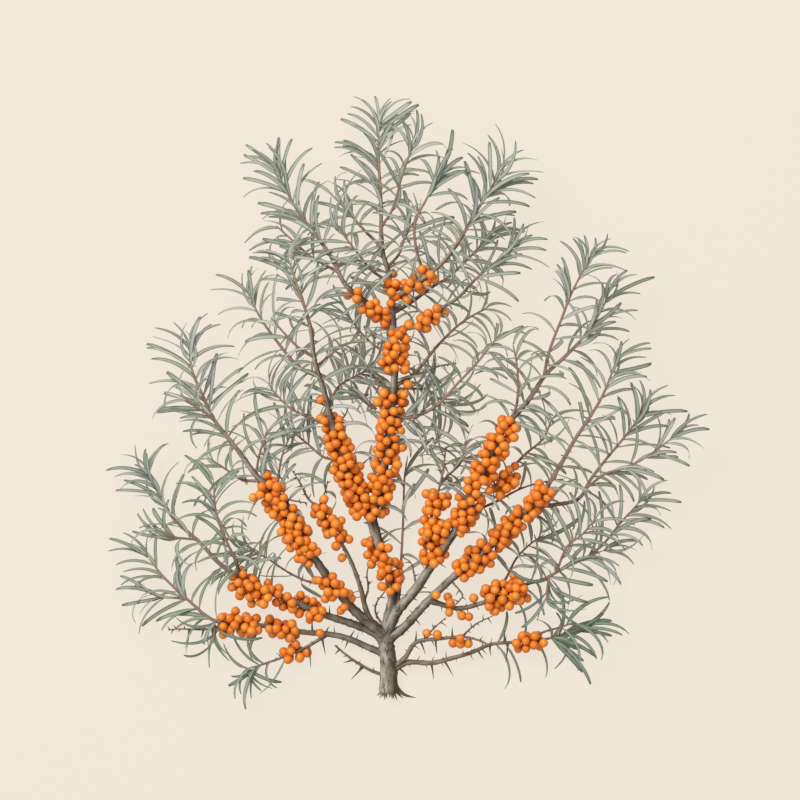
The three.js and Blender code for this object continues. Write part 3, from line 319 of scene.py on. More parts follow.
# Bare twigs set with small spines: branch, from and to (counted in points), how many.
SPINY = (
    ("left_low_c", 0.5, 3, 9), ("left_inner", 6.8, 9, 7), ("left_third_f", 0.4, 2.8, 5),
    ("upper_right_f", 0.6, 3, 4), ("right_fourth_c", 3.6, 6, 5), ("right_fourth_f", 1.4, 6, 9),
    ("right_low", 0.8, 6, 12), ("right_lowest", 0.9, 5.8, 14), ("left_lowest", 0.6, 3, 5),
    ("left_low", 0.8, 2.8, 7), ("left_low_d", 0.6, 3, 6), ("right_low_a", 0.4, 3, 5),
    ("right_low_b", 0.3, 2, 3), ("left_inner_b", 0.3, 2, 3), ("left_third_e", 0.4, 2, 3),
    ("left_crown_g", 0.4, 2, 3), ("middle_b", 0.4, 2, 2), ("right_third", 0.8, 3, 5),
    ("right_second", 0.8, 3, 5), ("left_second", 0.6, 2.6, 5), ("leader_twig", 0.6, 3, 3),
    ("left_inner_a", 0.8, 3, 3), ("right_fourth_g", 0.3, 2, 3), ("right_third_c", 0.4, 3, 3),
)
# The torn heel at the foot of the stem: foot, point, radius at the foot, bend, whether it has bark.
HEEL = (
    ((5, -10, 5), (24.7, -22.3, 1.2), 2.8, 3.4, True), ((-3, -10, 5), (-10, -21, 1.6), 2.8, -1.2, True),
    ((5, -11, 6), (13.5, -23, 1), 2.4, 1.5, True), ((-4, -12, 5), (-7.5, -23, 1.5), 2.2, -0.6, False),
    ((-1, -13, 4), (-3, -24.5, 1.2), 2.0, 0.5, True), ((2, -13, 6), (3.4, -24.3, 2), 2.2, -0.5, False),
    ((5, -13, 5), (8.2, -25, 1.2), 2.0, 0.9, False), ((-3, -13, 9), (-5, -21.5, 7), 2.6, -0.4, True),
    ((2, -13, 10), (1.5, -22, 8.5), 2.8, 0.4, False), ((4, -12, 8), (7.5, -22, 6), 2.6, 0.6, True),
    ((-1, -13, 9), (-1, -23, 6), 2.2, 0.4, True), ((3, -13, 8), (5.4, -24, 4), 1.8, 0.4, True),
)


# ---- Sizes and colours that can be changed ----
def linear(text):
    """An sRGB hex colour as linear red, green and blue."""
    shares = [int(text[i:i + 2], 16) / 255 for i in (1, 3, 5)]
    return tuple(s / 12.92 if s <= 0.04045 else ((s + 0.055) / 1.055) ** 2.4 for s in shares)


def length_setting(name, description, default):
    """A length in metres that can be changed."""
    return bpy.props.FloatProperty(name=name, description=description, default=default, unit="LENGTH",
                                   precision=5)


def colour_setting(name, description, default):
    """A colour that can be changed, given as sRGB hex."""
    return bpy.props.FloatVectorProperty(name=name, description=description, default=linear(default),
                                         subtype="COLOR", size=3, min=0, max=1)


class SprigWoodSettings(bpy.types.PropertyGroup):
    """Sizes and colours of the woody stems, young stems and thorns."""

    thorn_radius: length_setting("Thorn radius", "Radius of a thorn at its foot", 0.0011)
    spine_length: length_setting("Spine length", "How far a small spine stands out of its twig", 0.0055)
    furrow_width: length_setting("Furrow width", "From one furrow of the bark to the next", 0.0022)
    old_bark: colour_setting("Old bark", "Weathered bark of the thick stem", "#7F7768")
    twig_bark: colour_setting("Twig bark", "Bark of the thin branches", "#87705F")
    furrow: colour_setting("Furrows", "Bottom of the furrows", "#3F372E")
    young_stem: colour_setting("Young stem", "Skin of this year's stems", "#8E664F")
    bare_wood: colour_setting("Bare wood", "Torn wood at the foot", "#B7A68A")


class SprigLeafSettings(bpy.types.PropertyGroup):
    """Sizes and colours of the leaves."""

    length: length_setting("Length", "Length of a full leaf", 0.0435)
    tip_length: length_setting("Tip length", "Length of the leaves at the tip of a shoot", 0.031)
    width: length_setting("Width", "Width of a full leaf", 0.0037)
    spacing: length_setting("Spacing", "From one leaf to the next up the stem", 0.0034)
    seed: bpy.props.IntProperty(name="Seed", description="Chooses another arrangement", default=4)
    upper_side: colour_setting("Upper side", "Grey-green upper side", "#959889")
    dark_side: colour_setting("Dark upper side", "The darkest leaves", "#6D7669")
    under_side: colour_setting("Underside", "Silver-scaled underside", "#C2C3B8")
    low_side: colour_setting("Lower leaves", "Greener leaves of the lowest shoots", "#647A5C")


class SprigBerrySettings(bpy.types.PropertyGroup):
    """Sizes and colours of the berries."""

    radius: length_setting("Radius", "Radius of a full berry", 0.00405)
    closeness: bpy.props.FloatProperty(
        name="Closeness", description="Least distance between two berries, in berry widths",
        default=0.81, subtype="FACTOR", min=0.7, max=1.2)
    seed: bpy.props.IntProperty(name="Seed", description="Chooses another arrangement", default=7)
    # The light and deep skins are the ends of the painted light and painted shade on a berry, mixed with its
    # own mottle.
    ripe: colour_setting("Ripe skin", "The common colour of the berries", "#EA7E1B")
    light: colour_setting("Light skin", "The palest side of a berry", "#F5A33C")
    deep: colour_setting("Deep skin", "The reddest side of a berry", "#CB4F17")
    stalk: colour_setting("Stalk", "Short stalks of the berries", "#8C7A50")


class SprigStageSettings(bpy.types.PropertyGroup):
    """The floor, the light and the camera."""

    view_width: length_setting("View width", "Width of floor that the camera sees", 0.68)
    view_x: length_setting("View centre X", "Middle of the view", 0.0102)
    view_y: length_setting("View centre Y", "Middle of the view", 0.2329)
    focal_length: bpy.props.FloatProperty(name="Focal length", description="Camera lens, in millimetres",
                                          default=180, min=20, max=400)
    floor_colour: colour_setting("Floor", "Plain pale floor", "#F0E7D8")
    floor_glow: bpy.props.FloatProperty(
        name="Floor glow", description="Share of the floor's brightness that comes through it from below",
        default=0.9, subtype="FACTOR", min=0, max=1)
    key_power: bpy.props.FloatProperty(name="Key power", description="Power of the soft light",
                                       default=50, unit="POWER")
    sky_strength: bpy.props.FloatProperty(name="Sky strength", description="Even light from all round",
                                          default=0.62, min=0, max=10)


# ---- Stems ----
SPAN_STEPS = 24  # samples in each span of a path


class Stem:
    """One branch: a smooth curve through its path, in metres, with its frames and thickness."""

    def __init__(self, name, parent, radii, leafy_from, path):
        points = [Vector((*place, 0)[:3]) * MM for place in path]
        self.parent_radius = parent.radius_near(points[0]) if parent else 0.0
        if parent:
            points[0] = parent.nearest(points[0])
        self.name = name
        self.parent = parent
        self.radii = [radius * MM for radius in radii]
        self.samples = self.smooth(points)
        self.reach = [0.0]
        for before, after in zip(self.samples, self.samples[1:]):
            self.reach.append(self.reach[-1] + (after - before).length)
        self.length = self.reach[-1]
        self.leafy_from = 1.0 if leafy_from is None else self.share_at(leafy_from)
        self.has_leaves = leafy_from is not None
        self.owner = name
        if leafy_from == 0:
            self.owner = parent.owner

    @staticmethod
    def smooth(points):
        """A uniform Catmull-Rom curve through the points, mirrored past its ends."""
        ends = [points[0] * 2 - points[1], *points, points[-1] * 2 - points[-2]]
        samples = []
        for a, b, c, d in zip(ends, ends[1:], ends[2:], ends[3:]):
            for step in range(SPAN_STEPS):
                t = step / SPAN_STEPS
                samples.append((b * 2 + (c - a) * t + (a * 2 - b * 5 + c * 4 - d) * t ** 2
                                + (b * 3 - a - c * 3 + d) * t ** 3) / 2)
        return [*samples, points[-1]]

    def share_at(self, place):
        """The share of the length at a place counted in points of the path."""
        return self.reach[min(round(place * SPAN_STEPS), len(self.reach) - 1)] / self.length

    def radius_at(self, share):
        """The thickness at a share of the length."""
        at = min(max(share, 0), 0.9999) * (len(self.radii) - 1)
        index = int(at)
        return self.radii[index] + (self.radii[index + 1] - self.radii[index]) * (at - index)

    def frame_at(self, share):
        """Point, forward, side and over; side is level and over is upward."""
        target = min(max(share, 0), 1) * self.length
        low, high = 0, len(self.reach) - 2
        while low < high:
            middle = (low + high + 1) // 2
            low, high = (middle, high) if self.reach[middle] <= target else (low, middle - 1)
        before, after = self.samples[low], self.samples[low + 1]
        step = self.reach[low + 1] - self.reach[low] or 1e-9
        forward = (after - before).normalized()
        side = forward.cross(UP).normalized()
        return before.lerp(after, (target - self.reach[low]) / step), forward, side, side.cross(forward)

    def nearest(self, target):
        """The point of the stem that is nearest on the plan."""
        return min(self.samples, key=lambda p: (p.x - target.x) ** 2 + (p.y - target.y) ** 2)

    def radius_near(self, target):
        """The thickness of the stem beside a point on the plan."""
        index = self.samples.index(self.nearest(target))
        return self.radius_at(self.reach[index] / self.length)


def outward(frame_here, turn):
    """The direction square to a stem, turned from its level side over its top."""
    return frame_here[2] * math.cos(turn) + frame_here[3] * math.sin(turn)


def grow_stems():
    """Every stem by name; a parent stands before the stems that grow from it."""
    stems = {}
    for name, parent, radii, leafy_from, path in BRANCHES:
        stems[name] = Stem(name, stems.get(parent), radii, leafy_from, path)
    return stems


STEMS = grow_stems()


# ---- Mesh drafts ----
class Draft:
    """Points, faces, and for each face corner its place on the skin, gathered before they are a mesh."""

    def __init__(self):
        self.points = []
        self.faces = []
        self.corners = []
        self.tones = []
        self.finishes = []

    def add_point(self, point, tone=0.0):
        """Adds a point and gives its number."""
        self.points.append(point)
        self.tones.append(tone)
        return len(self.points) - 1

    def add_face(self, indices, corners, finish=0):
        """Adds a face, with a place on the skin for each of its corners."""
        self.faces.append(indices)
        self.corners.extend(corners)
        self.finishes.append(finish)

    def add_tube(self, rings, finish=0, end_finish=None):
        """A closed tube. Each ring is (centre, across, over, [radii], tone, distance along)."""
        sides = len(rings[0][3])
        starts = []
        for centre, across, over, radii, tone, _ in rings:
            starts.append(len(self.points))
            for i, radius in enumerate(radii):
                turn = i / sides * math.tau
                self.add_point(
                    centre + across * (radius * math.cos(turn)) + over * (radius * math.sin(turn)), tone)
        for row, (low, high) in enumerate(zip(starts, starts[1:])):
            around = max(max(rings[row][3]) * math.tau, 1e-6)
            v0, v1 = rings[row][5], rings[row + 1][5]
            for i in range(sides):
                j = (i + 1) % sides
                u0, u1 = i / sides * around, (i + 1) / sides * around
                self.add_face((low + i, low + j, high + j, high + i),
                              ((u0, v0), (u1, v0), (u1, v1), (u0, v1)), finish)
        cap = finish if end_finish is None else end_finish
        for start, ring, backwards in ((starts[0], rings[0], True), (starts[-1], rings[-1], False)):
            order = [start + i for i in range(sides)]
            turns = [i / sides * math.tau for i in range(sides)]
            spots = [(math.cos(turn) * out, math.sin(turn) * out) for turn, out in zip(turns, ring[3])]
            if backwards:
                order.reverse()
                spots.reverse()
            self.add_face(tuple(order), spots, cap if backwards else finish)

    def mesh(self, name, toned=True):
        """The draft as a smooth mesh. A shape to be scattered isn't toned, as each place has its own."""
        mesh = bpy.data.meshes.new(name)
        mesh.from_pydata(self.points, [], self.faces)
        skin = mesh.uv_layers.new(name="skin")
        for loop, corner in zip(skin.data, self.corners):
            loop.uv = corner
        if toned:
            tone = mesh.attributes.new("tone", "FLOAT", "POINT")
            tone.data.foreach_set("value", self.tones)
        for face, finish in zip(mesh.polygons, self.finishes):
            face.material_index = finish
            face.use_smooth = True
        mesh.validate()
        mesh.update()
        return mesh


def mark_painted_light_side(mesh, way):
    """Stores on each point how squarely it faces one way, for painted light on that side and painted shade
    elsewhere.
    """
    sunny = mesh.attributes.new("sunny", "FLOAT", "POINT")
    sunny.data.foreach_set("value", [max(0.0, normal.vector.dot(way)) for normal in mesh.vertex_normals])


def show(name, mesh, materials):
    """Puts a mesh in the scene as an object at the origin."""
    piece = bpy.data.objects.new(name, mesh)
    bpy.context.scene.collection.objects.link(piece)
    for finish in materials:
        mesh.materials.append(finish)
    return piece


# ---- Node helpers ----
MIX = {"data_type": "RGBA", "clamp_factor": True}
TIMES = {"operation": "MULTIPLY"}
TIMES_PLUS = {"operation": "MULTIPLY_ADD"}


def add_node(tree, kind, settings=(), inputs=()):
    """Adds a node with its settings; each input takes a value or is linked to another node's socket.

    The setting "stops" fills a colour ramp: (place, linear colour or grey) for each stop."""
    made = tree.nodes.new(kind)
    for key, value in dict(settings).items():
        if key != "stops":
            setattr(made, key, value)
            continue
        band = made.color_ramp.elements
        while len(band) < len(value):
            band.new(0.5)
        for element, (place, colour) in zip(band, value):
            element.position = place
            element.color = (*((colour,) * 3 if isinstance(colour, (int, float)) else colour[:3]), 1)
    for key, value in dict(inputs).items():
        socket = made.inputs[key]
        if isinstance(value, bpy.types.NodeSocket):
            tree.links.new(value, socket)
        else:
            socket.default_value = (*value[:3], 1) if socket.type == "RGBA" else value
    return made


def new_finish(name, values):
    """A material with these values on its shader, joined to its output: (material, tree, shader)."""
    finish = bpy.data.materials.new(name)
    finish.use_nodes = True
    tree = finish.node_tree
    tree.nodes.clear()
    shader = add_node(tree, "ShaderNodeBsdfPrincipled", inputs=values)
    add_node(tree, "ShaderNodeOutputMaterial", inputs={"Surface": shader.outputs["BSDF"]})
    return finish, tree, shader


# ---- Materials ----
FURROW_STRETCH = 5  # furrows run along the stem, so their pattern is this much longer that way
RING_GAP = 1.3 * MM  # from one yearly ring to the next
UNIT_WAVE = 0.314  # length of one wave of a wave texture at a scale of 1


def bark_finish(sizes):
    """Sea buckthorn bark: grey-olive and furrowed on the thick stem, smoother and browner on thin ones, with
    painted light on one side and painted shade on the other.
    """
    finish, tree, shader = new_finish("sea_buckthorn_bark", {"Roughness": 0.88, "Specular IOR Level": 0.25})
    skin = add_node(tree, "ShaderNodeUVMap", {"uv_map": "skin"}).outputs["UV"]
    place = add_node(tree, "ShaderNodeTexCoord").outputs["Object"]
    age, sunny = [add_node(tree, "ShaderNodeAttribute", {"attribute_name": name}).outputs["Fac"]
                  for name in ("tone", "sunny")]
    furrows = 1 / sizes.furrow_width
    drawn = add_node(tree, "ShaderNodeMapping", inputs={
        "Vector": skin, "Scale": (furrows, furrows / FURROW_STRETCH, 1)}).outputs["Vector"]
    ridges = add_node(tree, "ShaderNodeTexNoise", {"noise_dimensions": "2D"}, {
        "Vector": drawn, "Scale": 1.0, "Detail": 4.0, "Roughness": 0.62, "Distortion": 0.5}).outputs["Fac"]
    patches = add_node(tree, "ShaderNodeTexNoise", inputs={
        "Vector": place, "Scale": 1 / (9 * MM), "Detail": 3.0, "Roughness": 0.55}).outputs["Fac"]
    # The side facing the light's way is painted paler, as painted light, and the side away from it painted
    # darker, as painted shade, with an uneven border between them.
    uneven = add_node(tree, "ShaderNodeMath", TIMES, {0: patches, 1: 0.6}).outputs[0]
    side = add_node(tree, "ShaderNodeMath", TIMES_PLUS, {0: sunny, 1: 0.7, 2: uneven}).outputs[0]
    paler, pale, painted_light_amount, dark, depth = [
        add_node(tree, "ShaderNodeValToRGB", {"stops": stops}, {"Fac": source}).outputs["Color"]
        for source, stops in (
            (age, ((0.0, sizes.young_stem), (0.22, sizes.twig_bark), (0.75, sizes.old_bark),
                   (1.0, sizes.old_bark))),
            (age, ((0.2, linear("#A68E7A")), (0.7, linear("#B8B1A1")))),
            (side, ((0.68, 0), (1.0, 0.95))),
            (side, ((0.3, 0.85), (0.6, 0))),
            (ridges, ((0.34, 0), (0.5, 1))))]
    # The pale colour here is painted light, and #4A3E33 is painted shade.
    for amount, colour in ((painted_light_amount, pale), (dark, linear("#4A3E33"))):
        paler = add_node(tree, "ShaderNodeMix", MIX, {0: amount, 6: paler, 7: colour}).outputs[2]
    furrowed = add_node(tree, "ShaderNodeMix", MIX, {0: depth, 6: sizes.furrow, 7: paler}).outputs[2]
    share = add_node(tree, "ShaderNodeMath", TIMES_PLUS, {0: age, 1: 0.6, 2: 0.3}).outputs[0]
    colour = add_node(tree, "ShaderNodeMix", MIX, {0: share, 6: paler, 7: furrowed}).outputs[2]
    tree.links.new(colour, shader.inputs["Base Color"])
    bump = add_node(tree, "ShaderNodeBump", inputs={
        "Height": ridges, "Strength": 0.7, "Distance": 0.35 * MM}).outputs["Normal"]
    tree.links.new(bump, shader.inputs["Normal"])
    return finish


def young_stem_finish(sizes):
    """Smooth reddish skin of this year's stems, dusted with silvery scales."""
    finish, tree, shader = new_finish("scaly_young_stem", {"Roughness": 0.62, "Specular IOR Level": 0.3})
    place = add_node(tree, "ShaderNodeTexCoord").outputs["Object"]
    tone = add_node(tree, "ShaderNodeAttribute", {"attribute_name": "tone"}).outputs["Fac"]
    scales = add_node(tree, "ShaderNodeTexNoise", inputs={
        "Vector": place, "Scale": 1 / (0.8 * MM), "Detail": 2.0}).outputs["Fac"]
    dust = add_node(tree, "ShaderNodeMath", TIMES, {0: scales, 1: 0.45}).outputs[0]
    # Where the stem is thick it already has thin bark, and its tone is below 0.
    thick = add_node(tree, "ShaderNodeMath", TIMES, {0: tone, 1: -1.0}).outputs[0]
    grown = add_node(tree, "ShaderNodeMix", MIX, {0: thick, 6: sizes.young_stem, 7: sizes.twig_bark})
    dusted = add_node(tree, "ShaderNodeMix", MIX, {0: dust, 6: grown.outputs[2], 7: linear("#A89E90")})
    colour = add_node(tree, "ShaderNodeMix", MIX, {0: tone, 6: dusted.outputs[2], 7: linear("#93A08B")})
    tree.links.new(colour.outputs[2], shader.inputs["Base Color"])
    return finish


def thorn_finish():
    """Thorns: brown at the foot, nearly black at the point."""
    finish, tree, shader = new_finish("hard_thorn_wood", {"Roughness": 0.55})
    tone = add_node(tree, "ShaderNodeAttribute", {"attribute_name": "tone"}).outputs["Fac"]
    colour = add_node(tree, "ShaderNodeValToRGB", {"stops": (
        (0.0, linear("#6B5A4B")), (0.4, linear("#4E4035")), (1.0, linear("#2A231E")))}, {"Fac": tone})
    tree.links.new(colour.outputs["Color"], shader.inputs["Base Color"])
    return finish


def bare_wood_finish(sizes):
    """Torn wood at the foot of the stem: pale and fibrous, with the yearly rings on its face."""
    finish, tree, shader = new_finish("torn_bare_wood", {"Roughness": 0.9})
    place = add_node(tree, "ShaderNodeTexCoord").outputs["Object"]
    drawn = add_node(tree, "ShaderNodeMapping", inputs={"Vector": place, "Scale": (1, 0.15, 1)})
    fibres = add_node(tree, "ShaderNodeTexNoise", inputs={
        "Vector": drawn.outputs["Vector"], "Scale": 1 / (0.7 * MM), "Detail": 3.0}).outputs["Fac"]
    middle = STEMS["leader"].frame_at(0)[0]  # the rings lie round the middle of the stem
    centred = add_node(tree, "ShaderNodeMapping", inputs={
        "Vector": place, "Location": (-middle.x, 0, -middle.z)})
    rings = add_node(tree, "ShaderNodeTexWave", {"wave_type": "RINGS", "rings_direction": "Y"}, {
        "Vector": centred.outputs["Vector"], "Scale": UNIT_WAVE / RING_GAP, "Distortion": 1.2,
        "Detail": 2.0}).outputs["Fac"]
    ringed = add_node(tree, "ShaderNodeMath", TIMES, {0: rings, 1: 0.3}).outputs[0]
    both = add_node(tree, "ShaderNodeMath", TIMES_PLUS, {0: fibres, 1: 0.7, 2: ringed}).outputs[0]
    colour = add_node(tree, "ShaderNodeValToRGB", {"stops": (
        (0.3, linear("#6E5B43")), (0.65, sizes.bare_wood))}, {"Fac": both})
    tree.links.new(colour.outputs["Color"], shader.inputs["Base Color"])
    return finish


def leaf_finish(sizes):
    """Silver-scaled leaf: grey-green above with a paler midrib and painted shade along the edges, silvery
    below.
    """
    finish, tree, shader = new_finish("silver_scaled_leaf", {
        "Roughness": 0.68, "Specular IOR Level": 0.3, "Sheen Weight": 0.15})
    # Across runs 0 to 1 on the upper side and 1 to 2 on the underside.
    skin = add_node(tree, "ShaderNodeUVMap", {"uv_map": "skin"}).outputs["UV"]
    split = add_node(tree, "ShaderNodeSeparateXYZ", inputs={"Vector": skin}).outputs
    across, along = split["X"], split["Y"]
    place = add_node(tree, "ShaderNodeTexCoord").outputs["Object"]
    tone, green = [add_node(tree, "ShaderNodeAttribute", {"attribute_name": name}).outputs["Fac"]
                   for name in ("tone", "green")]
    aside = add_node(tree, "ShaderNodeMath", {"operation": "SUBTRACT"}, {0: across, 1: 0.5}).outputs[0]
    off_middle = add_node(tree, "ShaderNodeMath", {"operation": "ABSOLUTE"}, {0: aside}).outputs[0]
    scales = add_node(tree, "ShaderNodeTexNoise", inputs={
        "Vector": place, "Scale": 1 / (1.4 * MM), "Detail": 2.0}).outputs["Fac"]
    dust = add_node(tree, "ShaderNodeMath", TIMES, {0: scales, 1: 0.3}).outputs[0]
    # The midrib is a narrow pale line. The edges are painted darker, as painted shade along the rolled-under
    # edges; the point dries and has lost its scales, so it is darker.
    upper, rib, foot, rim, point = [
        add_node(tree, "ShaderNodeValToRGB", {"stops": stops}, {"Fac": source}).outputs["Color"]
        for source, stops in (
            (tone, ((0.0, sizes.dark_side), (0.45, sizes.upper_side), (0.8, linear("#AFB2A5")),
                    (1.0, linear("#C5C6BA")))),
            (off_middle, ((0.05, 0.45), (0.13, 0))),
            (along, ((0.0, 0.5), (0.16, 0))),
            (off_middle, ((0.3, 0), (0.43, 0.8))),
            (along, ((0.82, 0), (0.97, 0.6))))]
    rim_shade_and_dry_point = add_node(tree, "ShaderNodeMath", {"operation": "MAXIMUM"}, {0: rim, 1: point}).outputs[0]
    for amount, colour in ((green, sizes.low_side), (rib, linear("#C6C7BC")), (dust, linear("#B5B7AC")),
                           (foot, linear("#AAAB86")), (rim_shade_and_dry_point, linear("#4A584A"))):
        upper = add_node(tree, "ShaderNodeMix", MIX, {0: amount, 6: upper, 7: colour}).outputs[2]
    under = add_node(tree, "ShaderNodeMix", MIX, {0: green, 6: sizes.under_side, 7: linear("#86967F")})
    below = add_node(tree, "ShaderNodeMath", {"operation": "GREATER_THAN"}, {0: across, 1: 1.0}).outputs[0]
    colour = add_node(tree, "ShaderNodeMix", MIX, {0: below, 6: upper, 7: under.outputs[2]}).outputs[2]
    tree.links.new(colour, shader.inputs["Base Color"])
    return finish


def berry_finish(sizes):
    """Ripe berry: thin glossy orange skin, mottled, with tiny brown scales and a dark scar at the end, and
    painted light and shade.
    """
    finish, tree, shader = new_finish("ripe_berry_skin", {
        "Roughness": 0.38, "IOR": 1.4, "Coat Weight": 0.15, "Coat Roughness": 0.3})
    place = add_node(tree, "ShaderNodeTexCoord").outputs["Object"]
    tone, sunny = [add_node(tree, "ShaderNodeAttribute", {"attribute_name": name}).outputs["Fac"]
                   for name in ("tone", "sunny")]
    mottle = add_node(tree, "ShaderNodeTexNoise", inputs={
        "Vector": place, "Scale": 1 / (3.5 * MM), "Detail": 2.0}).outputs["Fac"]
    scales = add_node(tree, "ShaderNodeTexVoronoi", inputs={"Vector": place, "Scale": 1 / (1.1 * MM)})
    skin = add_node(tree, "ShaderNodeUVMap", {"uv_map": "skin"}).outputs["UV"]
    along = add_node(tree, "ShaderNodeSeparateXYZ", inputs={"Vector": skin}).outputs["Y"]
    # Painted light and shade: the side facing the light's way is painted paler and the rest a deeper
    # red-orange; the tone paints berries deep in a bunch deeper still, as painted shade.
    both = add_node(tree, "ShaderNodeMath", TIMES, {0: mottle, 1: 0.25}).outputs[0]
    for source, weight in ((tone, 0.4), (sunny, 0.5)):
        both = add_node(tree, "ShaderNodeMath", TIMES_PLUS, {0: source, 1: weight, 2: both}).outputs[0]
    colour, scaly, scar = [
        add_node(tree, "ShaderNodeValToRGB", {"stops": stops}, {"Fac": source}).outputs["Color"]
        for source, stops in (
            (both, ((0.15, sizes.deep), (0.6, sizes.ripe), (1.0, sizes.light))),
            (scales.outputs["Distance"], ((0.07, 0.4), (0.12, 0))),
            (along, ((0.97, 0), (0.995, 0.7))))]
    for amount, over in ((scaly, linear("#A5561E")), (scar, linear("#5A3215"))):
        colour = add_node(tree, "ShaderNodeMix", MIX, {0: amount, 6: colour, 7: over}).outputs[2]
    tree.links.new(colour, shader.inputs["Base Color"])
    return finish


def plain_finish(name, colour, roughness, grain):
    """A matt finish with a faint grain, for the stalks and buds."""
    finish, tree, shader = new_finish(name, {"Roughness": roughness})
    place = add_node(tree, "ShaderNodeTexCoord").outputs["Object"]
    cloud = add_node(tree, "ShaderNodeTexNoise", inputs={
        "Vector": place, "Scale": 1 / grain, "Detail": 2.0}).outputs["Fac"]
    darker = tuple(value * 0.6 for value in colour[:3])
    clouded = add_node(tree, "ShaderNodeValToRGB", {"stops": ((0.3, darker), (0.7, colour))}, {"Fac": cloud})
    tree.links.new(clouded.outputs["Color"], shader.inputs["Base Color"])
    return finish


# ---- Scattering tree ----
def scatter_tree():
    """Puts one of several shapes on each point, by the point's own turn and stretch, as real faces."""
    tree = bpy.data.node_groups.new("scatter_shapes", "GeometryNodeTree")
    for name, kind, way in (
            ("Points", "NodeSocketGeometry", "INPUT"), ("Shapes", "NodeSocketCollection", "INPUT"),
            ("Size", "NodeSocketFloat", "INPUT"), ("Size Spread", "NodeSocketFloat", "INPUT"),
            ("Seed", "NodeSocketInt", "INPUT"), ("Finish", "NodeSocketMaterial", "INPUT"),
            ("Result", "NodeSocketGeometry", "OUTPUT")):
        tree.interface.new_socket(name=name, in_out=way, socket_type=kind)
    given = add_node(tree, "NodeGroupInput").outputs
    shapes = add_node(tree, "GeometryNodeCollectionInfo", {"transform_space": "ORIGINAL"}, {
        "Collection": given["Shapes"], "Separate Children": True, "Reset Children": True})
    turn, stretch, pick = [
        add_node(tree, "GeometryNodeInputNamedAttribute", {"data_type": kind}, {"Name": name}).outputs[0]
        for name, kind in (("turn", "FLOAT_VECTOR"), ("stretch", "FLOAT_VECTOR"), ("shape", "INT"))]
    smallest, largest = [
        add_node(tree, "ShaderNodeMath", {"operation": kind}, {0: 1.0, 1: given["Size Spread"]}).outputs[0]
        for kind in ("SUBTRACT", "ADD")]
    spread = add_node(tree, "FunctionNodeRandomValue", {"data_type": "FLOAT"}, {
        2: smallest, 3: largest, "Seed": given["Seed"]}).outputs[1]
    sized = add_node(tree, "ShaderNodeMath", TIMES, {0: spread, 1: given["Size"]}).outputs[0]
    scale = add_node(tree, "ShaderNodeVectorMath", {"operation": "SCALE"}, {
        "Vector": stretch, "Scale": sized})
    way = add_node(tree, "FunctionNodeEulerToRotation", inputs={"Euler": turn})
    placed = add_node(tree, "GeometryNodeInstanceOnPoints", inputs={
        "Points": given["Points"], "Instance": shapes.outputs["Instances"], "Pick Instance": True,
        "Instance Index": pick, "Rotation": way.outputs["Rotation"], "Scale": scale.outputs["Vector"]})
    real = add_node(tree, "GeometryNodeRealizeInstances", inputs={"Geometry": placed.outputs["Instances"]})
    dressed = add_node(tree, "GeometryNodeSetMaterial", inputs={
        "Geometry": real.outputs["Geometry"], "Material": given["Finish"]})
    add_node(tree, "NodeGroupOutput", inputs={"Result": dressed.outputs["Geometry"]})
    return tree


def scatter(name, places, shapes, finish, size=1.0, size_spread=0.0, seed=0):
    """One mesh piece of the shapes. A place is (point, turn, stretch, shape index, {attribute: value})."""
    tree = bpy.data.node_groups.get("scatter_shapes") or scatter_tree()
    points = bpy.data.meshes.new(name + "_places")
    points.from_pydata([place[0] for place in places], [], [])
    turns = points.attributes.new("turn", "FLOAT_VECTOR", "POINT")
    turns.data.foreach_set("vector", [v for place in places for v in place[1].to_euler("XYZ")])
    stretches = points.attributes.new("stretch", "FLOAT_VECTOR", "POINT")
    stretches.data.foreach_set("vector", [v for place in places for v in place[2]])
    picks = points.attributes.new("shape", "INT", "POINT")
    picks.data.foreach_set("value", [place[3] for place in places])
    for key in places[0][4]:
        values = points.attributes.new(key, "FLOAT", "POINT")
        values.data.foreach_set("value", [place[4][key] for place in places])
    bed = bpy.data.objects.new(name + "_bed", points)
    bpy.context.scene.collection.objects.link(bed)
    pool = bpy.data.collections.new(name + "_shapes")
    for index, shape in enumerate(shapes):
        pool.objects.link(bpy.data.objects.new(f"{name}_shape_{index:02d}", shape))
    modifier = bed.modifiers.new("scatter", "NODES")
    modifier.node_group = tree
    chosen = {"Shapes": pool, "Size": size, "Size Spread": size_spread, "Seed": seed, "Finish": finish}
    for item in tree.interface.items_tree:
        if item.name in chosen:
            modifier[item.identifier] = chosen[item.name]
    filled = bed.evaluated_get(bpy.context.evaluated_depsgraph_get())
    mesh = bpy.data.meshes.new_from_object(filled)
    mesh.name = name
    bed.modifiers.clear()
    bpy.data.objects.remove(bed)
    for shape in list(pool.objects):
        bpy.data.objects.remove(shape)
    bpy.data.collections.remove(pool)
    if not mesh.polygons:
        raise RuntimeError(f"{name} came out empty")
    return show(name, mesh, ())


# ---- Wood ----
WOOD_PAINTED_LIGHT_WAY = Vector((-0.75, 0.15, 0.65)).normalized()  # the way the painted light falls on the wood: bark facing it is painted paler, bark facing away darker
OLD_RADIUS = 4.5 * MM  # at this radius and above the bark is fully weathered
RING_STEP = 2.2 * MM  # from one ring of a tube to the next
YOUNG_STEP = 1.5  # how much further apart the rings of a young stem are
KNUCKLE_GAPS = (7, 14)  # least and most millimetres from one swelling to the next
KNUCKLE_RISES = (0.08, 0.22)  # least and most that one stands out, in the stem's radii
KNUCKLE_WIDTH = 1.3 * MM
MOST_FLARE = 0.45  # how much thicker a stem may be at its foot, as a share
FLARE_FADE = 2.2  # that extra thickness fades over this many radii
END_SHARE = 0.06  # the last share of a stem, in which it narrows to its end
THINNEST_END = 0.12  # how thick the very end is, as a share
UNEVEN_LENGTH = 7 * MM  # length of the hollows and humps in a stem's surface
HIDDEN_TURNS = (0.45, 0.9, 1.35)  # the rings of the round end inside the parent
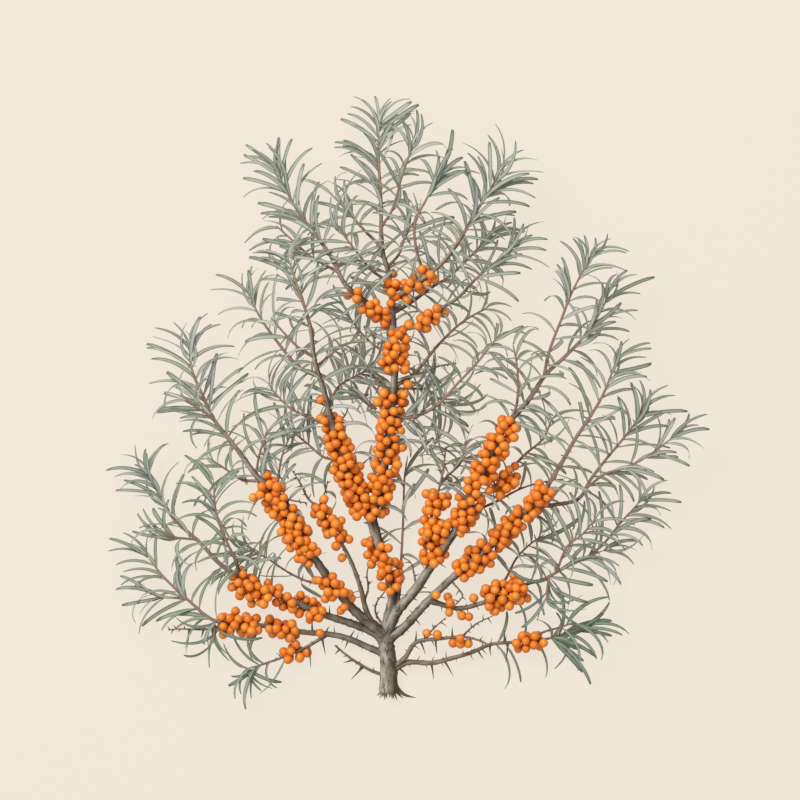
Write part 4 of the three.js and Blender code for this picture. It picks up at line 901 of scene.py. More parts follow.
SPINE_THIN = 0.62  # how thick a small spine is beside a thorn
POINT_FLOOR = 0.6 * MM  # lowest height of a thorn's point
WORN_HEEL = 0.8  # how weathered the bark on the heel's splinters is
BARK, THORN, BARE_WOOD = 0, 1, 2  # the finishes of the wood
WOOD_SEED, STEM_SEED = 21, 22


def off_floor(centre, radius):
    """The centre, lifted where a ring of this radius would reach under the floor."""
    return Vector((centre.x, centre.y, max(centre.z, radius)))


def ring_sides(radius):
    """How many sides a tube of this radius has."""
    if radius > 5 * MM:
        return 20
    return 14 if radius > 2.5 * MM else 9 if radius > 1.2 * MM else 7


def knuckles(stem, random_draw):
    """Swellings where leaves of past years stood: (distance along, height as a share of the radius)."""
    found, at = [], 5 * MM
    while at < stem.length:
        found.append((at, random_draw.uniform(*KNUCKLE_RISES)))
        at += random_draw.uniform(*KNUCKLE_GAPS) * MM
    return found


def stem_rings(stem, start, end, random_draw, young):
    """The rings of a stem's tube between two shares of its length."""
    bumps = knuckles(stem, random_draw)
    sides = ring_sides(stem.radius_at(start))
    count = max(3, math.ceil((end - start) * stem.length / (RING_STEP * (YOUNG_STEP if young else 1))))
    seed = random_draw.uniform(0, 90)
    rings = []
    for i in range(count + 1):
        share = start + (end - start) * i / count
        centre, _, across, over = stem.frame_at(share)
        along = share * stem.length
        radius = stem.radius_at(share)
        if stem.parent:
            flare = min(MOST_FLARE, max(0.0, 0.98 * stem.parent_radius / stem.radii[0] - 1))
            radius *= 1 + flare * math.exp(-along / (radius * FLARE_FADE))
        radius *= 1 + sum(height * math.exp(-((along - at) / KNUCKLE_WIDTH) ** 2) for at, height in bumps)
        if share > 1 - END_SHARE and stem.parent and (young or not stem.has_leaves):
            radius *= max(THINNEST_END, math.sqrt(max(0.0, (1 - share) / END_SHARE)))
        rough = 0.1 if radius > 3 * MM else 0.05
        radii = []
        for side in range(sides):
            turn = side / sides * math.tau
            spot = Vector((math.cos(turn) * 1.6 + seed, math.sin(turn) * 1.6, along / UNEVEN_LENGTH))
            radii.append(radius * (1 + rough * noise.noise(spot)))
        centre = off_floor(centre, max(radii))
        tone = 0.0 if young else min(1.0, radius / OLD_RADIUS)
        if young:
            tone = 0.55 * max(0.0, (share - 0.75) / 0.25) - min(1.0, max(0.0, radius / MM - 1.0))
        rings.append((centre, -across, over, radii, tone, along))
    if stem.parent and start == 0:
        # The stem starts with a round end inside its parent, so the fork has no edge.
        centre, across, over, radii, tone, _ = rings[0]
        back = max(radii)
        for turn in HIDDEN_TURNS:
            behind = centre - stem.frame_at(0)[1] * (back * math.sin(turn))
            smaller = [radius * math.cos(turn) for radius in radii]
            behind = off_floor(behind, max(smaller))
            rings.insert(0, (behind, across, over, smaller, tone, -back * math.sin(turn)))
    return rings


# Where the rings of a spike stand, as shares of its length.
SPIKE_SHARES = (0, 0.06, 0.18, 0.45, 0.78, 0.97)
HEEL_SHARES = (0, 0.06, 0.14, 0.26, 0.4, 0.54, 0.68, 0.82, 0.93, 0.98)


def spike_rings(foot, tip, radius, bend, sides=6, shares=SPIKE_SHARES):
    """A thorn's rings: it narrows at once past its broad foot, bends a little and ends in a point."""
    forward = (tip - foot).normalized()
    across = forward.cross(UP).normalized()
    over = across.cross(forward)
    rings = []
    for share in shares:
        width = radius * (0.95 * (1 - share) ** 0.85 + 0.75 * math.exp(-share / 0.07))
        centre = foot.lerp(tip, share) + across * (bend * math.sin(share * math.pi))
        rings.append((off_floor(centre, width), -across, over, [width] * sides, share,
                      (tip - foot).length * share))
    return rings


def thorn_spots(sizes, random_draw):
    """Foot and point of every thorn and small spine."""
    spots = []
    for name, foot_place, tip_place in THORNS:
        foot = STEMS[name].nearest(Vector((*foot_place, 0)) * MM)
        tip = Vector((*tip_place, 0)) * MM
        tip.z = foot.z + random_draw.uniform(-1, 4) * MM
        spots.append((foot, tip, sizes.thorn_radius))
    for name, start, end, count in SPINY:
        stem = STEMS[name]
        for i in range(count):
            share = stem.share_at(start + (end - start) * (i + random_draw.uniform(0.2, 0.8)) / count)
            here = stem.frame_at(share)
            turn = (i % 2) * math.pi + random_draw.uniform(-0.5, 0.9) * (1 - 2 * (i % 2))
            reach = stem.radius_at(share) + sizes.spine_length * random_draw.uniform(0.45, 1.25)
            lean = outward(here, turn) + here[1] * random_draw.uniform(0.1, 0.5)
            spots.append((here[0], here[0] + lean.normalized() * reach, sizes.thorn_radius * SPINE_THIN))
    for _, tip, _ in spots:
        tip.z = max(tip.z, POINT_FLOOR)
    return spots


class SPRIG_OT_wood(bpy.types.Operator):
    """Makes the bark-covered branches, the thorns and the torn heel"""

    bl_idname = "sprig.wood"
    bl_label = "Wood"

    def execute(self, context):
        sizes = context.scene.sprig_wood
        random_draw = random.Random(WOOD_SEED)
        draft = Draft()
        for stem in STEMS.values():
            if stem.leafy_from > 0:
                rings = stem_rings(stem, 0, stem.leafy_from, random_draw, False)
                draft.add_tube(rings, BARK, BARE_WOOD if stem.parent is None else None)
        for foot, tip, radius in thorn_spots(sizes, random_draw):
            draft.add_tube(spike_rings(foot, tip, radius, random_draw.uniform(-0.6, 0.6) * MM), THORN)
        for foot, tip, radius, bend, barked in HEEL:
            rings = spike_rings(Vector(foot) * MM, Vector(tip) * MM, radius * MM, bend * MM, 10, HEEL_SHARES)
            rings = [(*ring[:4], WORN_HEEL, ring[5]) for ring in rings]
            draft.add_tube(rings, BARK if barked else BARE_WOOD)
        finishes = (bark_finish(sizes), thorn_finish(), bare_wood_finish(sizes))
        wood = show("bark_wood", draft.mesh("bark_wood"), finishes)
        # The bark facing the light's way gets painted light, and the far side painted shade.
        mark_painted_light_side(wood.data, WOOD_PAINTED_LIGHT_WAY)
        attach(wood, BODY)
        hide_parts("wood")
        return {"FINISHED"}


class SPRIG_OT_young_stems(bpy.types.Operator):
    """Makes this year's thin stems that carry the leaves"""

    bl_idname = "sprig.young_stems"
    bl_label = "Young stems"

    def execute(self, context):
        random_draw = random.Random(STEM_SEED)
        draft = Draft()
        for stem in STEMS.values():
            if stem.has_leaves:
                draft.add_tube(stem_rings(stem, stem.leafy_from, 1, random_draw, True))
        finish = young_stem_finish(context.scene.sprig_wood)
        stems = show("young_stems", draft.mesh("young_stems"), (finish,))
        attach(stems, BODY)
        return {"FINISHED"}


# ---- Berries ----
def berry_shape(name, oblong):
    """A berry of unit radius with its end at +Z: round, slightly pinched at the stalk."""
    draft = Draft()
    rings, sides = 6, 12
    for i in range(1, rings + 1):
        angle = math.pi * i / (rings + 1)
        for j in range(sides):
            turn = j / sides * math.tau
            draft.add_point(Vector((math.sin(angle) * math.cos(turn), math.sin(angle) * math.sin(turn),
                                    -math.cos(angle) * oblong)))
    foot = draft.add_point(Vector((0, 0, -oblong * 0.97)))
    end = draft.add_point(Vector((0, 0, oblong * 0.975)))
    for i in range(rings - 1):
        for j in range(sides):
            a, b = i * sides + j, i * sides + (j + 1) % sides
            v0, v1 = (i + 1) / (rings + 1), (i + 2) / (rings + 1)
            draft.add_face((a, b, b + sides, a + sides), ((0, v0), (0, v0), (0, v1), (0, v1)))
    top = (rings - 1) * sides
    for j in range(sides):
        k = (j + 1) % sides
        draft.add_face((foot, k, j), ((0, 0), (0, 1 / (rings + 1)), (0, 1 / (rings + 1))))
        draft.add_face((end, top + j, top + k), ((0, 1), (0, rings / (rings + 1)), (0, rings / (rings + 1))))
    return draft.mesh(name, toned=False)


def upright_shape(name, rings):
    """A closed shape along +Z with these rings: (height, [radii])."""
    draft = Draft()
    draft.add_tube([(Vector((0, 0, z)), Vector((1, 0, 0)), Vector((0, 1, 0)), radii, 0.0, z)
                    for z, radii in rings])
    return draft.mesh(name, toned=False)


# A stalk is slightly wider at both ends.
STALK_RINGS = ((0, [1.3] * 5), (0.5, [0.85] * 5), (1, [1.2] * 5))
BERRY_PAINTED_LIGHT_WAY = Vector((-0.3, 0.35, 1)).normalized()  # the way the painted light falls on the berries: skin facing it is painted paler, the rest deeper


def aim(direction, spin):
    """The turn that takes +Z to a direction."""
    return direction.to_track_quat("Z", "Y").to_matrix() @ Matrix.Rotation(spin, 3, "Z")


PACK_TRIES = 26  # places tried for each berry; the one closest to the branch is kept
MOST_MISSES = 14  # a bunch is full when this many berries in a row find no place
BARE_BELOW = -0.4  # where the lumps' noise is under this, the branch stays bare
TOP_BARE_BELOW = BARE_BELOW * 0.45  # the same for its upper side
LUMP_LENGTH = 10 * MM  # length of a lump along its branch
LUMP_SWELL = 0.45  # how much further out the bunch reaches at a lump, as a share
LEAST_OUT = 0.9  # how far a berry's middle stands off the bark at least, in radii
FULL_DEPTH = 14 * MM  # this far from the middle of its branch, a berry's depth is 1; berries of less depth are painted a deeper red-orange, as painted shade
TOP_DEPTH, LONE_DEPTH = 0.55, 0.8
STALK_RADIUS = 0.45 * MM
TOP_TRIES = 5
TOP_STEP = 1.6 * MM  # from one place to the next along the upper side of a branch
CLOSE_ON_TOP = 1.5  # least distance between berries there, in radii; seen from above, SIDE_BY_SIDE
SIDE_BY_SIDE = 1.05
OVER_FLOOR = 1.12  # least height of a berry's middle, in radii
LONE_GAP = 1.8  # least distance from a lone berry to another one, in radii


def lump_at(stem, share, turn, wave):
    """How far a bunch swells at one place round its branch, from -1 to 1."""
    return noise.noise(Vector((share * stem.length / LUMP_LENGTH, wave + 0.8 * math.cos(turn),
                               0.8 * math.sin(turn))))


def berries_on_top(stem, first, last, wave, sizes, found, random_draw):
    """More berries along the upper side of a branch, where the bunch left it bare."""
    steps = max(1, round((last - first) * stem.length / TOP_STEP))
    for step in range(steps):
        share = first + (last - first) * (step + 0.5) / steps
        here = stem.frame_at(share)
        if lump_at(stem, share, math.pi / 2, wave) < TOP_BARE_BELOW:
            continue
        for _ in range(TOP_TRIES):
            turn = random_draw.gauss(math.pi / 2, 0.35)
            rise = stem.radius_at(share) + sizes.radius * random_draw.uniform(0.95, 1.9)
            middle = here[0] + outward(here, turn) * rise
            beside = [other[0] for other in found if (other[0] - middle).length < 2.4 * sizes.radius]
            if all((middle - other).length > CLOSE_ON_TOP * sizes.radius
                   and (middle - other).xy.length > SIDE_BY_SIDE * sizes.radius for other in beside):
                found.append((middle, here[0], TOP_DEPTH))
                break


def berry_spots(sizes, bunch, random_draw):
    """Where the berries of a bunch sit, pressed together in lumps: (middle, foot on the branch, depth)."""
    found = []
    least = sizes.radius * 2 * sizes.closeness
    for name, start, end, outer, right, up in BUNCHES[bunch]:
        stem = STEMS[name]
        first, last = stem.share_at(start), stem.share_at(end)
        wave = random_draw.uniform(0, 90)
        off = Vector((right, up, 0)) * MM
        misses = 0
        while misses < MOST_MISSES:
            best = None
            for _ in range(PACK_TRIES):
                share = random_draw.uniform(first, last)
                here = stem.frame_at(share)
                turn = random_draw.uniform(0, math.tau)
                lump = lump_at(stem, share, turn, wave)
                if lump < BARE_BELOW:
                    continue
                reach = outer * MM * (1 + LUMP_SWELL * lump) - sizes.radius
                reach *= math.sqrt(random_draw.random())
                middle = here[0] + off + outward(here, turn) * reach
                from_stem = (middle - here[0]).cross(here[1]).length
                least_out = stem.radius_at(share) + sizes.radius * LEAST_OUT
                if middle.z < sizes.radius * OVER_FLOOR or from_stem < least_out:
                    continue
                nearest = min(((middle - other[0]).length for other in found), default=least)
                score = from_stem + 0.6 * min(nearest, 2 * least)
                if nearest >= least and (best is None or score < best[0]):
                    foot = stem.frame_at(share - 0.4 * sizes.radius / stem.length)[0]
                    best = (score, (middle, foot, from_stem / FULL_DEPTH))
            if best is None:
                misses += 1
            else:
                found.append(best[1])
                misses = 0
        berries_on_top(stem, first, last, wave, sizes, found, random_draw)
    return found


def lone_spots(sizes, pieces_taken, random_draw):
    """Where the berries that sit alone are, in the same terms."""
    found = []
    for name, place in LONE_BERRIES:
        stem = STEMS[name]
        target = Vector((*place, 0)) * MM
        foot = stem.nearest(target)
        middle = Vector((target.x, target.y, foot.z + random_draw.uniform(0.5, 2.5) * MM))
        away = middle - foot
        least = sizes.radius + 0.8 * MM
        if away.length < least:
            middle = foot + UP * (sizes.radius + 1.5 * MM) + Vector((away.x, away.y, 0))
        middle.z = max(middle.z, sizes.radius * OVER_FLOOR)
        if all((middle - other[0]).length > sizes.radius * LONE_GAP for other in pieces_taken):
            found.append((middle, foot, LONE_DEPTH))
    return found


def all_berry_spots(sizes):
    """The berries of every piece: {piece: [(middle, foot, depth)]}."""
    random_draw = random.Random(sizes.seed)
    spots = {piece: [spot for bunch in bunches for spot in berry_spots(sizes, bunch, random_draw)]
             for piece, bunches in BERRY_PIECES.items()}
    everything = [spot for group in spots.values() for spot in group]
    for spot in lone_spots(sizes, everything, random_draw):
        spots["berries_left" if spot[0].x < -20 * MM else "berries_right"].append(spot)
    return spots


class SPRIG_OT_berries(bpy.types.Operator):
    """Packs the berries round the branches, with their short stalks"""

    bl_idname = "sprig.berries"
    bl_label = "Berries"

    def execute(self, context):
        sizes = context.scene.sprig_berries
        random_draw = random.Random(sizes.seed + 1)
        spots = all_berry_spots(sizes)
        shapes = [berry_shape(f"berry_{i}", oblong) for i, oblong in enumerate((1.0, 1.06, 1.12, 0.97))]
        skin = berry_finish(sizes)
        stalks = []
        for piece, group in spots.items():
            places = []
            for middle, foot, depth in group:
                away = (middle - foot).normalized()
                wobble = Vector([random_draw.uniform(-0.35, 0.35) for _ in range(3)])
                # Painted shade: berries near the branch, deep in the bunch, get a lower tone and so a deeper
                # red-orange; the rest of the tone's spread is random.
                height = max(0.0, min(1.0, random_draw.gauss(0.2 + 0.5 * depth, 0.17)))
                places.append((middle, aim((away + wobble).normalized(), random_draw.uniform(0, math.tau)),
                               (1, 1, 1), random_draw.randrange(len(shapes)), {"tone": height}))
                stretch = (STALK_RADIUS, STALK_RADIUS, (middle - foot).length)
                stalks.append((foot, aim(away, 0), stretch, 0, {"tone": 0.0}))
            made = scatter(piece, places, shapes, skin, sizes.radius, size_spread=0.09, seed=sizes.seed)
            # Painted light: each berry is painted paler on its side towards the light's way, and a deeper
            # red-orange elsewhere as painted shade.
            mark_painted_light_side(made.data, BERRY_PAINTED_LIGHT_WAY)
            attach(made, BODY)
            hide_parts(*BERRY_PIECES[piece])
        stalk_skin = plain_finish("green_brown_stalk", sizes.stalk, 0.75, 2 * MM)
        made = scatter("berry_stalks", stalks, [upright_shape("stalk", STALK_RINGS)], stalk_skin)
        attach(made, BODY)
        return {"FINISHED"}


# ---- Leaves ----
LEAF_ROWS = 8  # faces along a leaf
LEAF_ASPECT = 11.8  # a leaf's length in its own widths
LEAF_THICK = 0.11  # its thickness at the midrib in its own widths
LEAF_CLEAR = 4.9 * MM  # least distance from the middle line of a leaf to the middle of a berry
LEAF_FLOOR = 1.2 * MM  # lowest height of that line
OVER_BERRY = 3.7 * MM  # a leaf this near a berry on the plan lies across it
TURN_ASIDE = 0.72  # share of such leaves that turn aside
LEAF_TRIES = 10  # ways in which a leaf is turned before it is left out
WILD_FROM = 4  # from this try on, it turns up if its foot is lower than LOW_FOOT, and down if not
LOW_FOOT = 25 * MM
SHORTER = 0.03  # how much shorter each further try is, as a share
ODD_ONES = 0.14  # share of the leaves that bend towards their stem
TIP_TRIES = 12
TIP_FEET = 50  # places on its stem from which a listed leaf may start
TIP_REACH = (0.45, 1.5)  # least and most length of a listed leaf, as shares of the usual one
BACKWARD = 14 * MM  # what it counts against a foot that the leaf would have to grow backwards
SPARE = (12 * MM, 12 * MM, 1.5 * MM)  # how far past the solids' box a leaf's middle line may reach
# How each leaf bends: down along its length, down at its tip, sideways, and how far its edges fold up.
LEAF_BENDS = ((0.25, 0.3, 0.12, 0.12), (0.5, 0.2, 0.4, 0.2), (0.1, 0.5, 0.7, 0.16), (0.4, 0.0, 1.0, -0.1),
              (-0.2, 0.5, 1.4, 0.12), (0.7, 0.5, 0.3, 0.18), (0.9, 0.9, 0.6, 0.14))


def leaf_line(bend, hand):
    """The middle line of a leaf: (point, pitch) at each row; X in widths, Y and Z in lengths."""
    curl, hook, sway, _ = bend
    centre, pitch, yaw = Vector((0, 0, 0)), 0.0, 0.0
    line = [(centre.copy(), pitch)]
    for row in range(1, LEAF_ROWS + 1):
        pitch += (curl + hook * 2 * row / LEAF_ROWS) / LEAF_ROWS
        yaw += hand * sway / LEAF_ROWS
        level = math.cos(yaw) * math.cos(pitch)
        heading = Vector((math.sin(yaw) * LEAF_ASPECT, level, -math.cos(yaw) * math.sin(pitch)))
        centre = centre + heading / LEAF_ROWS
        line.append((centre.copy(), pitch))
    return line


def leaf_shape(name, bend, hand):
    """A narrow closed leaf from the origin along +Y, its upper side towards +Z."""
    draft = Draft()
    fold = bend[3]
    rows = []
    for row, (centre, pitch) in enumerate(leaf_line(bend, hand)):
        t = row / LEAF_ROWS
        width = min(1.0, 0.3 + 2.8 * t) * min(1.0, ((1.045 - t) * 5.5) ** 0.42)
        normal = Vector((0, math.sin(pitch), math.cos(pitch)))
        half = Vector((width / 2, 0, 0))
        lift = normal * (fold * width / LEAF_ASPECT)
        thick = normal * (LEAF_THICK * math.sqrt(width) / 2 / LEAF_ASPECT)
        rows.append([draft.add_point(point) for point in (
            centre - half + lift, centre + thick, centre + half + lift, centre - thick)])
    for row, (low, high) in enumerate(zip(rows, rows[1:])):
        v0, v1 = row / LEAF_ROWS, (row + 1) / LEAF_ROWS
        for one, two, u0, u1 in ((0, 1, 0.0, 0.5), (1, 2, 0.5, 1.0), (2, 3, 1.01, 1.5), (3, 0, 1.5, 2.0)):
            draft.add_face((low[one], low[two], high[two], high[one]),
                           ((u0, v0), (u1, v0), (u1, v1), (u0, v1)))
    draft.add_face(tuple(reversed(rows[0])), ((1.5, 0),) * 4)
    draft.add_face(tuple(rows[-1]), ((0.5, 1),) * 4)
    mesh = draft.mesh(name, toned=False)
    # The midrib and both edges are creases, so each half of the blade takes the light by itself.
    for edge in mesh.edges:
        edge.use_edge_sharp = abs(edge.vertices[0] - edge.vertices[1]) == 4
    return mesh


LEAF_PIECES = {
    "leaves_crown": ("crown", "upper", "leader"),
    "leaves_left": ("left_crown", "middle", "left_third", "left_inner"),
    "leaves_right": ("right_fourth", "right_third"),
    "leaves_low": ("left_second", "left_low", "right_second", "right_lowest"),
}
# How green the leaves of a shoot are: 0 is silvery, 1 is the green of the lowest shoots.
GREENNESS = {"left_low_d": 0.85, "left_low_b": 0.9, "right_lowest": 0.8, "right_lowest_a": 0.6,
             "right_second_d": 0.7, "right_second_a": 0.35, "left_low": 0.45, "left_second": 0.4,
             "left_second_a": 0.35, "left_second_b": 0.5, "left_third_f": 0.55, "left_third_c": 0.3,
             "left_third_b": 0.25, "right_fourth_e": 0.2, "middle_a": 0.25}
GOLDEN_TURN = math.radians(137.5)
# The points of the leaves that stand out at the edge of the sprig: places on the plan, by shoot.
LEAF_TIPS = {
    "crown": ((-12, 494), (-24, 489), (-34, 484), (-40, 472), (6, 493), (3, 489), (20, 488), (25, 484),
        (19, 478), (-28, 467), (-48, 451), (-39, 454), (-40, 450), (21, 468), (-34, 440), (-42, 431),
        (-32, 441), (-30, 426)),
    "crown_a": ((22, 479), (28, 475), (10, 471), (40, 467), (33, 449)),
    "upper_right_b": ((38, 445), (51, 445), (59, 445), (62, 437), (68, 427), (75, 424), (61, 427),
        (50, 440), (44, 438)),
    "upper_right_a": ((84, 456), (86, 451), (95, 446), (108, 451), (116, 443), (129, 435), (119, 424),
        (126, 418), (110, 417), (123, 415), (65, 442), (75, 439), (65, 433), (73, 418), (97, 404),
        (121, 395), (109, 392), (109, 388), (89, 385)),
    "upper_right_c": ((108, 383), (101, 391), (91, 388)),
    "upper_right_d": ((114, 385), (120, 387), (134, 385), (123, 371), (135, 369), (133, 359), (114, 356),
        (122, 345), (108, 379), (112, 340), (93, 370)),
    "upper_left_a": ((-122, 450), (-118, 444), (-122, 440), (-126, 433), (-107, 451), (-101, 447),
        (-94, 453), (-81, 454), (-63, 445), (-86, 441), (-71, 434), (-67, 427), (-113, 428), (-117, 425),
        (-122, 420), (-57, 419), (-101, 409), (-111, 400), (-106, 399), (-58, 407), (-107, 391),
        (-99, 389)),
    "upper_left_b": ((-104, 385), (-108, 370), (-92, 362), (-94, 375)),
    "crown_b": ((-54, 420), (-43, 427), (-35, 421), (-78, 418), (-63, 400)),
    "left_crown": ((-113, 357), (-113, 352), (-102, 359), (-85, 361), (-88, 357), (-96, 339), (-71, 354)),
    "left_crown_a": ((-148, 339), (-123, 344), (-119, 345), (-106, 349), (-97, 336)),
    "left_third": ((-160, 304), (-168, 303), (-186, 299), (-177, 296), (-197, 294), (-204, 280),
        (-199, 268), (-187, 257), (-199, 248), (-151, 297), (-138, 295), (-131, 280), (-146, 265),
        (-130, 272), (-121, 261), (-118, 254), (-191, 239), (-181, 243), (-124, 242), (-195, 222),
        (-177, 215), (-175, 205), (-169, 201)),
    "left_second": ((-216, 193), (-207, 192), (-202, 189), (-189, 196), (-233, 185), (-241, 173),
        (-215, 179), (-224, 165), (-174, 166), (-184, 170), (-233, 154), (-218, 151)),
    "left_second_a": ((-207, 140), (-212, 139), (-210, 133), (-217, 123)),
    "left_second_b": ((-165, 169), (-173, 162), (-159, 148), (-163, 135)),
    "left_low": ((-229, 119), (-239, 114), (-224, 110), (-241, 103), (-181, 100), (-175, 99), (-226, 86),
        (-212, 39), (-199, 43), (-191, 49), (-182, 37)),
    "left_low_a": ((-232, 72), (-228, 57), (-215, 61), (-213, 82)),
    "right_fourth_a": ((183, 376), (173, 372), (165, 372), (154, 369), (157, 371), (145, 366), (192, 369),
        (213, 358), (202, 354), (146, 352), (141, 348), (131, 339), (190, 345), (148, 344)),
    "right_fourth": ((193, 345), (205, 343), (225, 337), (218, 321), (197, 315), (205, 300), (193, 300),
        (205, 289), (178, 333), (175, 319)),
    "right_third": ((209, 287), (198, 284), (193, 281), (226, 275), (223, 264), (219, 255)),
    "right_third_a": ((207, 248), (215, 250), (221, 246), (223, 243), (244, 245), (240, 237), (264, 235),
        (254, 224), (237, 210), (195, 236)),
    "right_third_b": ((271, 220), (265, 211), (278, 208), (269, 190), (245, 189), (257, 176), (243, 218),
        (228, 170), (221, 164), (234, 165), (255, 223)),
    "right_second_c": ((227, 162), (242, 162), (242, 153), (251, 145), (241, 138), (224, 132), (236, 123),
        (198, 162)),
    "right_second": ((218, 119), (233, 118), (215, 112), (214, 104), (198, 91), (198, 76), (174, 75),
        (188, 97)),
    "right_lowest": ((189, 61), (184, 51), (192, 45), (181, 44), (206, 32), (201, 31), (177, 14), (167, 9),
        (168, 0), (138, 1), (162, 19), (161, 24), (151, 53), (149, 31)),
    "right_second_d": ((167, 68), (158, 59), (155, 55), (151, 65)),
    "left_low_b": ((-153, 20), (-150, 15), (-137, 11), (-128, 13)),
    "left_low_d": ((-136, -1), (-123, -22), (-117, -22), (-105, -16), (-96, -14), (-91, -7), (-124, 11),
        (-137, -12)),
    "left_third_a": ((-190, 240), (-196, 223), (-177, 216)),
}
# How full of leaves a shoot is, where that is not 1.
FULLNESS = {
    "crown": 1.15, "crown_a": 0.75, "crown_b": 0.5, "crown_c": 1.15, "crown_d": 1.25, "left_crown": 1.0,
    "left_crown_a": 0.85, "left_crown_b": 0.4, "left_crown_c": 1.3, "left_crown_d": 0.85,
    "left_crown_e": 2.4, "left_crown_f": 1.05, "left_low": 0.8, "left_low_a": 0.35, "left_low_b": 0.5,
    "left_low_d": 0.5, "left_second": 0.6, "left_second_a": 0.7, "left_second_b": 0.85, "left_third": 0.85,
    "left_third_a": 0.65, "left_third_b": 0.65, "left_third_c": 1.2, "left_third_d": 0.6,
    "left_third_f": 2.05, "middle_a": 1.1, "right_fourth": 0.75, "right_fourth_a": 0.75,
    "right_fourth_b": 0.7, "right_fourth_d": 1.45, "right_fourth_e": 0.9, "right_fourth_h": 0.35,
    "right_lowest": 1.2, "right_lowest_a": 0.85, "right_second": 0.95, "right_second_a": 1.2,
    "right_second_b": 0.85, "right_second_c": 0.7, "right_second_d": 1.35, "right_third": 0.75,
    "right_third_a": 0.9, "right_third_b": 0.65, "upper_left_a": 0.8, "upper_left_b": 0.55,
    "upper_right_a": 1.1, "upper_right_b": 0.55, "upper_right_c": 1.25, "upper_right_d": 0.75,
    "upper_right_e": 0.8, "upper_right_g": 0.8, "upper_right_h": 1.75,
}
# How long the leaves of a shoot are, where that is not 1.
LONGER = {"upper_right_e": 0.75, "upper_right_g": 0.75, "right_lowest": 1.2, "right_lowest_a": 1.2,
          "crown": 1.06, "upper_left_a": 1.12, "upper_right_a": 1.12, "left_third": 1.1, "left_low_b": 1.1,
          "right_fourth_a": 0.88}
# Leaves of short spurs on the woody stretches: branch, from and to (counted in points), how many.
SPURS = (
    ("crown", 0.6, 6.9, 59), ("left_crown", 2.2, 7.2, 27), ("left_third", 5, 9.5, 19),
    ("upper_left_a", 0.6, 3.4, 13), ("upper_right_a", 0.6, 4.4, 19),
    ("upper_right_c", 0.4, 2.4, 10), ("upper_right_d", 1.8, 4.4, 9), ("upper_right_e", 0.6, 3.4, 10),
    ("upper_right_g", 0.5, 2.4, 16), ("upper_right_h", 0.3, 1.4, 9), ("middle_a", 0.2, 1.4, 4),
    ("left_crown_a", 0.3, 2.4, 7), ("left_crown_c", 0.3, 1.4, 6), ("left_crown_d", 0.2, 1.4, 4),
    ("left_crown_e", 0.2, 1.4, 9), ("left_third_b", 0.3, 1.4, 2), ("left_third_d", 0.2, 1.4, 3),
    ("left_third_c", 0.2, 1.4, 3), ("left_second", 4.5, 7, 9), ("left_second_b", 0.2, 1.4, 5),
    ("left_low", 3.2, 5.4, 6), ("left_third_f", 0.6, 3.2, 9), ("left_inner_b", 0.4, 2, 2),
    ("right_fourth", 5, 9.4, 23), ("right_fourth_b", 0.3, 1.4, 4), ("right_fourth_c", 3.2, 6, 9),
    ("right_fourth_d", 0.6, 2.4, 13), ("right_fourth_e", 0.6, 3, 7), ("right_fourth_f", 1, 5, 3),
    ("right_fourth_h", 0.4, 2.2, 3), ("right_third", 4, 7.4, 16), ("right_third_a", 0.3, 2.4, 7),
    ("right_second", 3.5, 6.4, 8), ("right_second_a", 0.3, 2.2, 4), ("right_lowest", 5, 7.4, 8),
    ("left_low_d", 1.6, 3.4, 5), ("leader", 5, 7.8, 3),
)


def shoot_stations(stem, sizes, random_draw):
    """Where leaves stand up a shoot: (share of the stem, how far up the shoot, length)."""
    leafy = (1 - stem.leafy_from) * stem.length
    listed = len(LEAF_TIPS.get(stem.name, ()))
    count = max(4, round(leafy / sizes.spacing * FULLNESS.get(stem.name, 1) - 0.7 * listed))
    for i in range(count):
        up = ((i + random_draw.uniform(0.1, 0.9)) / count) ** 0.9
        full = leaf_length(stem, up, sizes) * random_draw.uniform(0.82, 1.1)
        full = full * (0.72 + 0.28 * min(1.0, up * 5))  # the lowest leaves are short
        yield stem.leafy_from + (1 - stem.leafy_from) * (0.02 + 0.975 * up), up, full


def leaf_length(stem, up, sizes):
    """How long a leaf is at one height of a shoot."""
    return (sizes.length + (sizes.tip_length - sizes.length) * up ** 4) * LONGER.get(stem.name, 1)


def spur_stations(stem, sizes, random_draw):
    """Where the leaves of short spurs stand on a woody stretch, in the same terms."""
    for name, start, end, count in SPURS:
        if name == stem.name:
            for i in range(count):
                place = start + (end - start) * (i + random_draw.uniform(0, 1)) / count
                yield stem.share_at(place), 0.1, sizes.length * random_draw.uniform(0.65, 1.0)


def settled(stem, foot, matrix, size, bend, hand, sizes, berries, random_draw):
    """One leaf ready to be set, or None if it would cut into a berry or leave the sprig's room.

    Its two lowest points aren't held clear of the berries, as a leaf may start inside a bunch."""
    low, high = SOLIDS_BOX
    wide = sizes.width * random_draw.uniform(0.78, 1.12) * (0.75 + 0.25 * size / sizes.length)
    line = [foot + matrix @ Vector((p.x * wide, p.y * size, p.z * size))
            for p, _ in leaf_line(LEAF_BENDS[bend], hand * 2 - 1)]
    inside = all(low[k] - SPARE[k] < p[k] < high[k] + SPARE[k] for p in line[1:] for k in range(3))
    clear = all(berries[0].find(p)[2] > LEAF_CLEAR for p in line[2:])
    if not inside or not clear or min(p.z for p in line) <= LEAF_FLOOR:
        return None
    # A few leaves lie across the berries.
    across = sum(berries[1].find((p.x, p.y, 0))[2] < OVER_BERRY for p in line[2:])
    if across > 1 and random_draw.random() < TURN_ASIDE:
        return None
    # Leaves that lie deeper in the sprig are paler, as their scales have not worn off.
    tone = max(0.0, min(1.0, random_draw.gauss(0.62 - 2.6 * line[4].z, 0.24)))
    green = GREENNESS.get(stem.name, 0.05) + random_draw.uniform(-0.3, 0.3)
    paint = {"tone": tone, "green": max(0.0, min(1.0, green))}
    return foot, matrix, (wide, size, size), bend * 2 + hand, paint


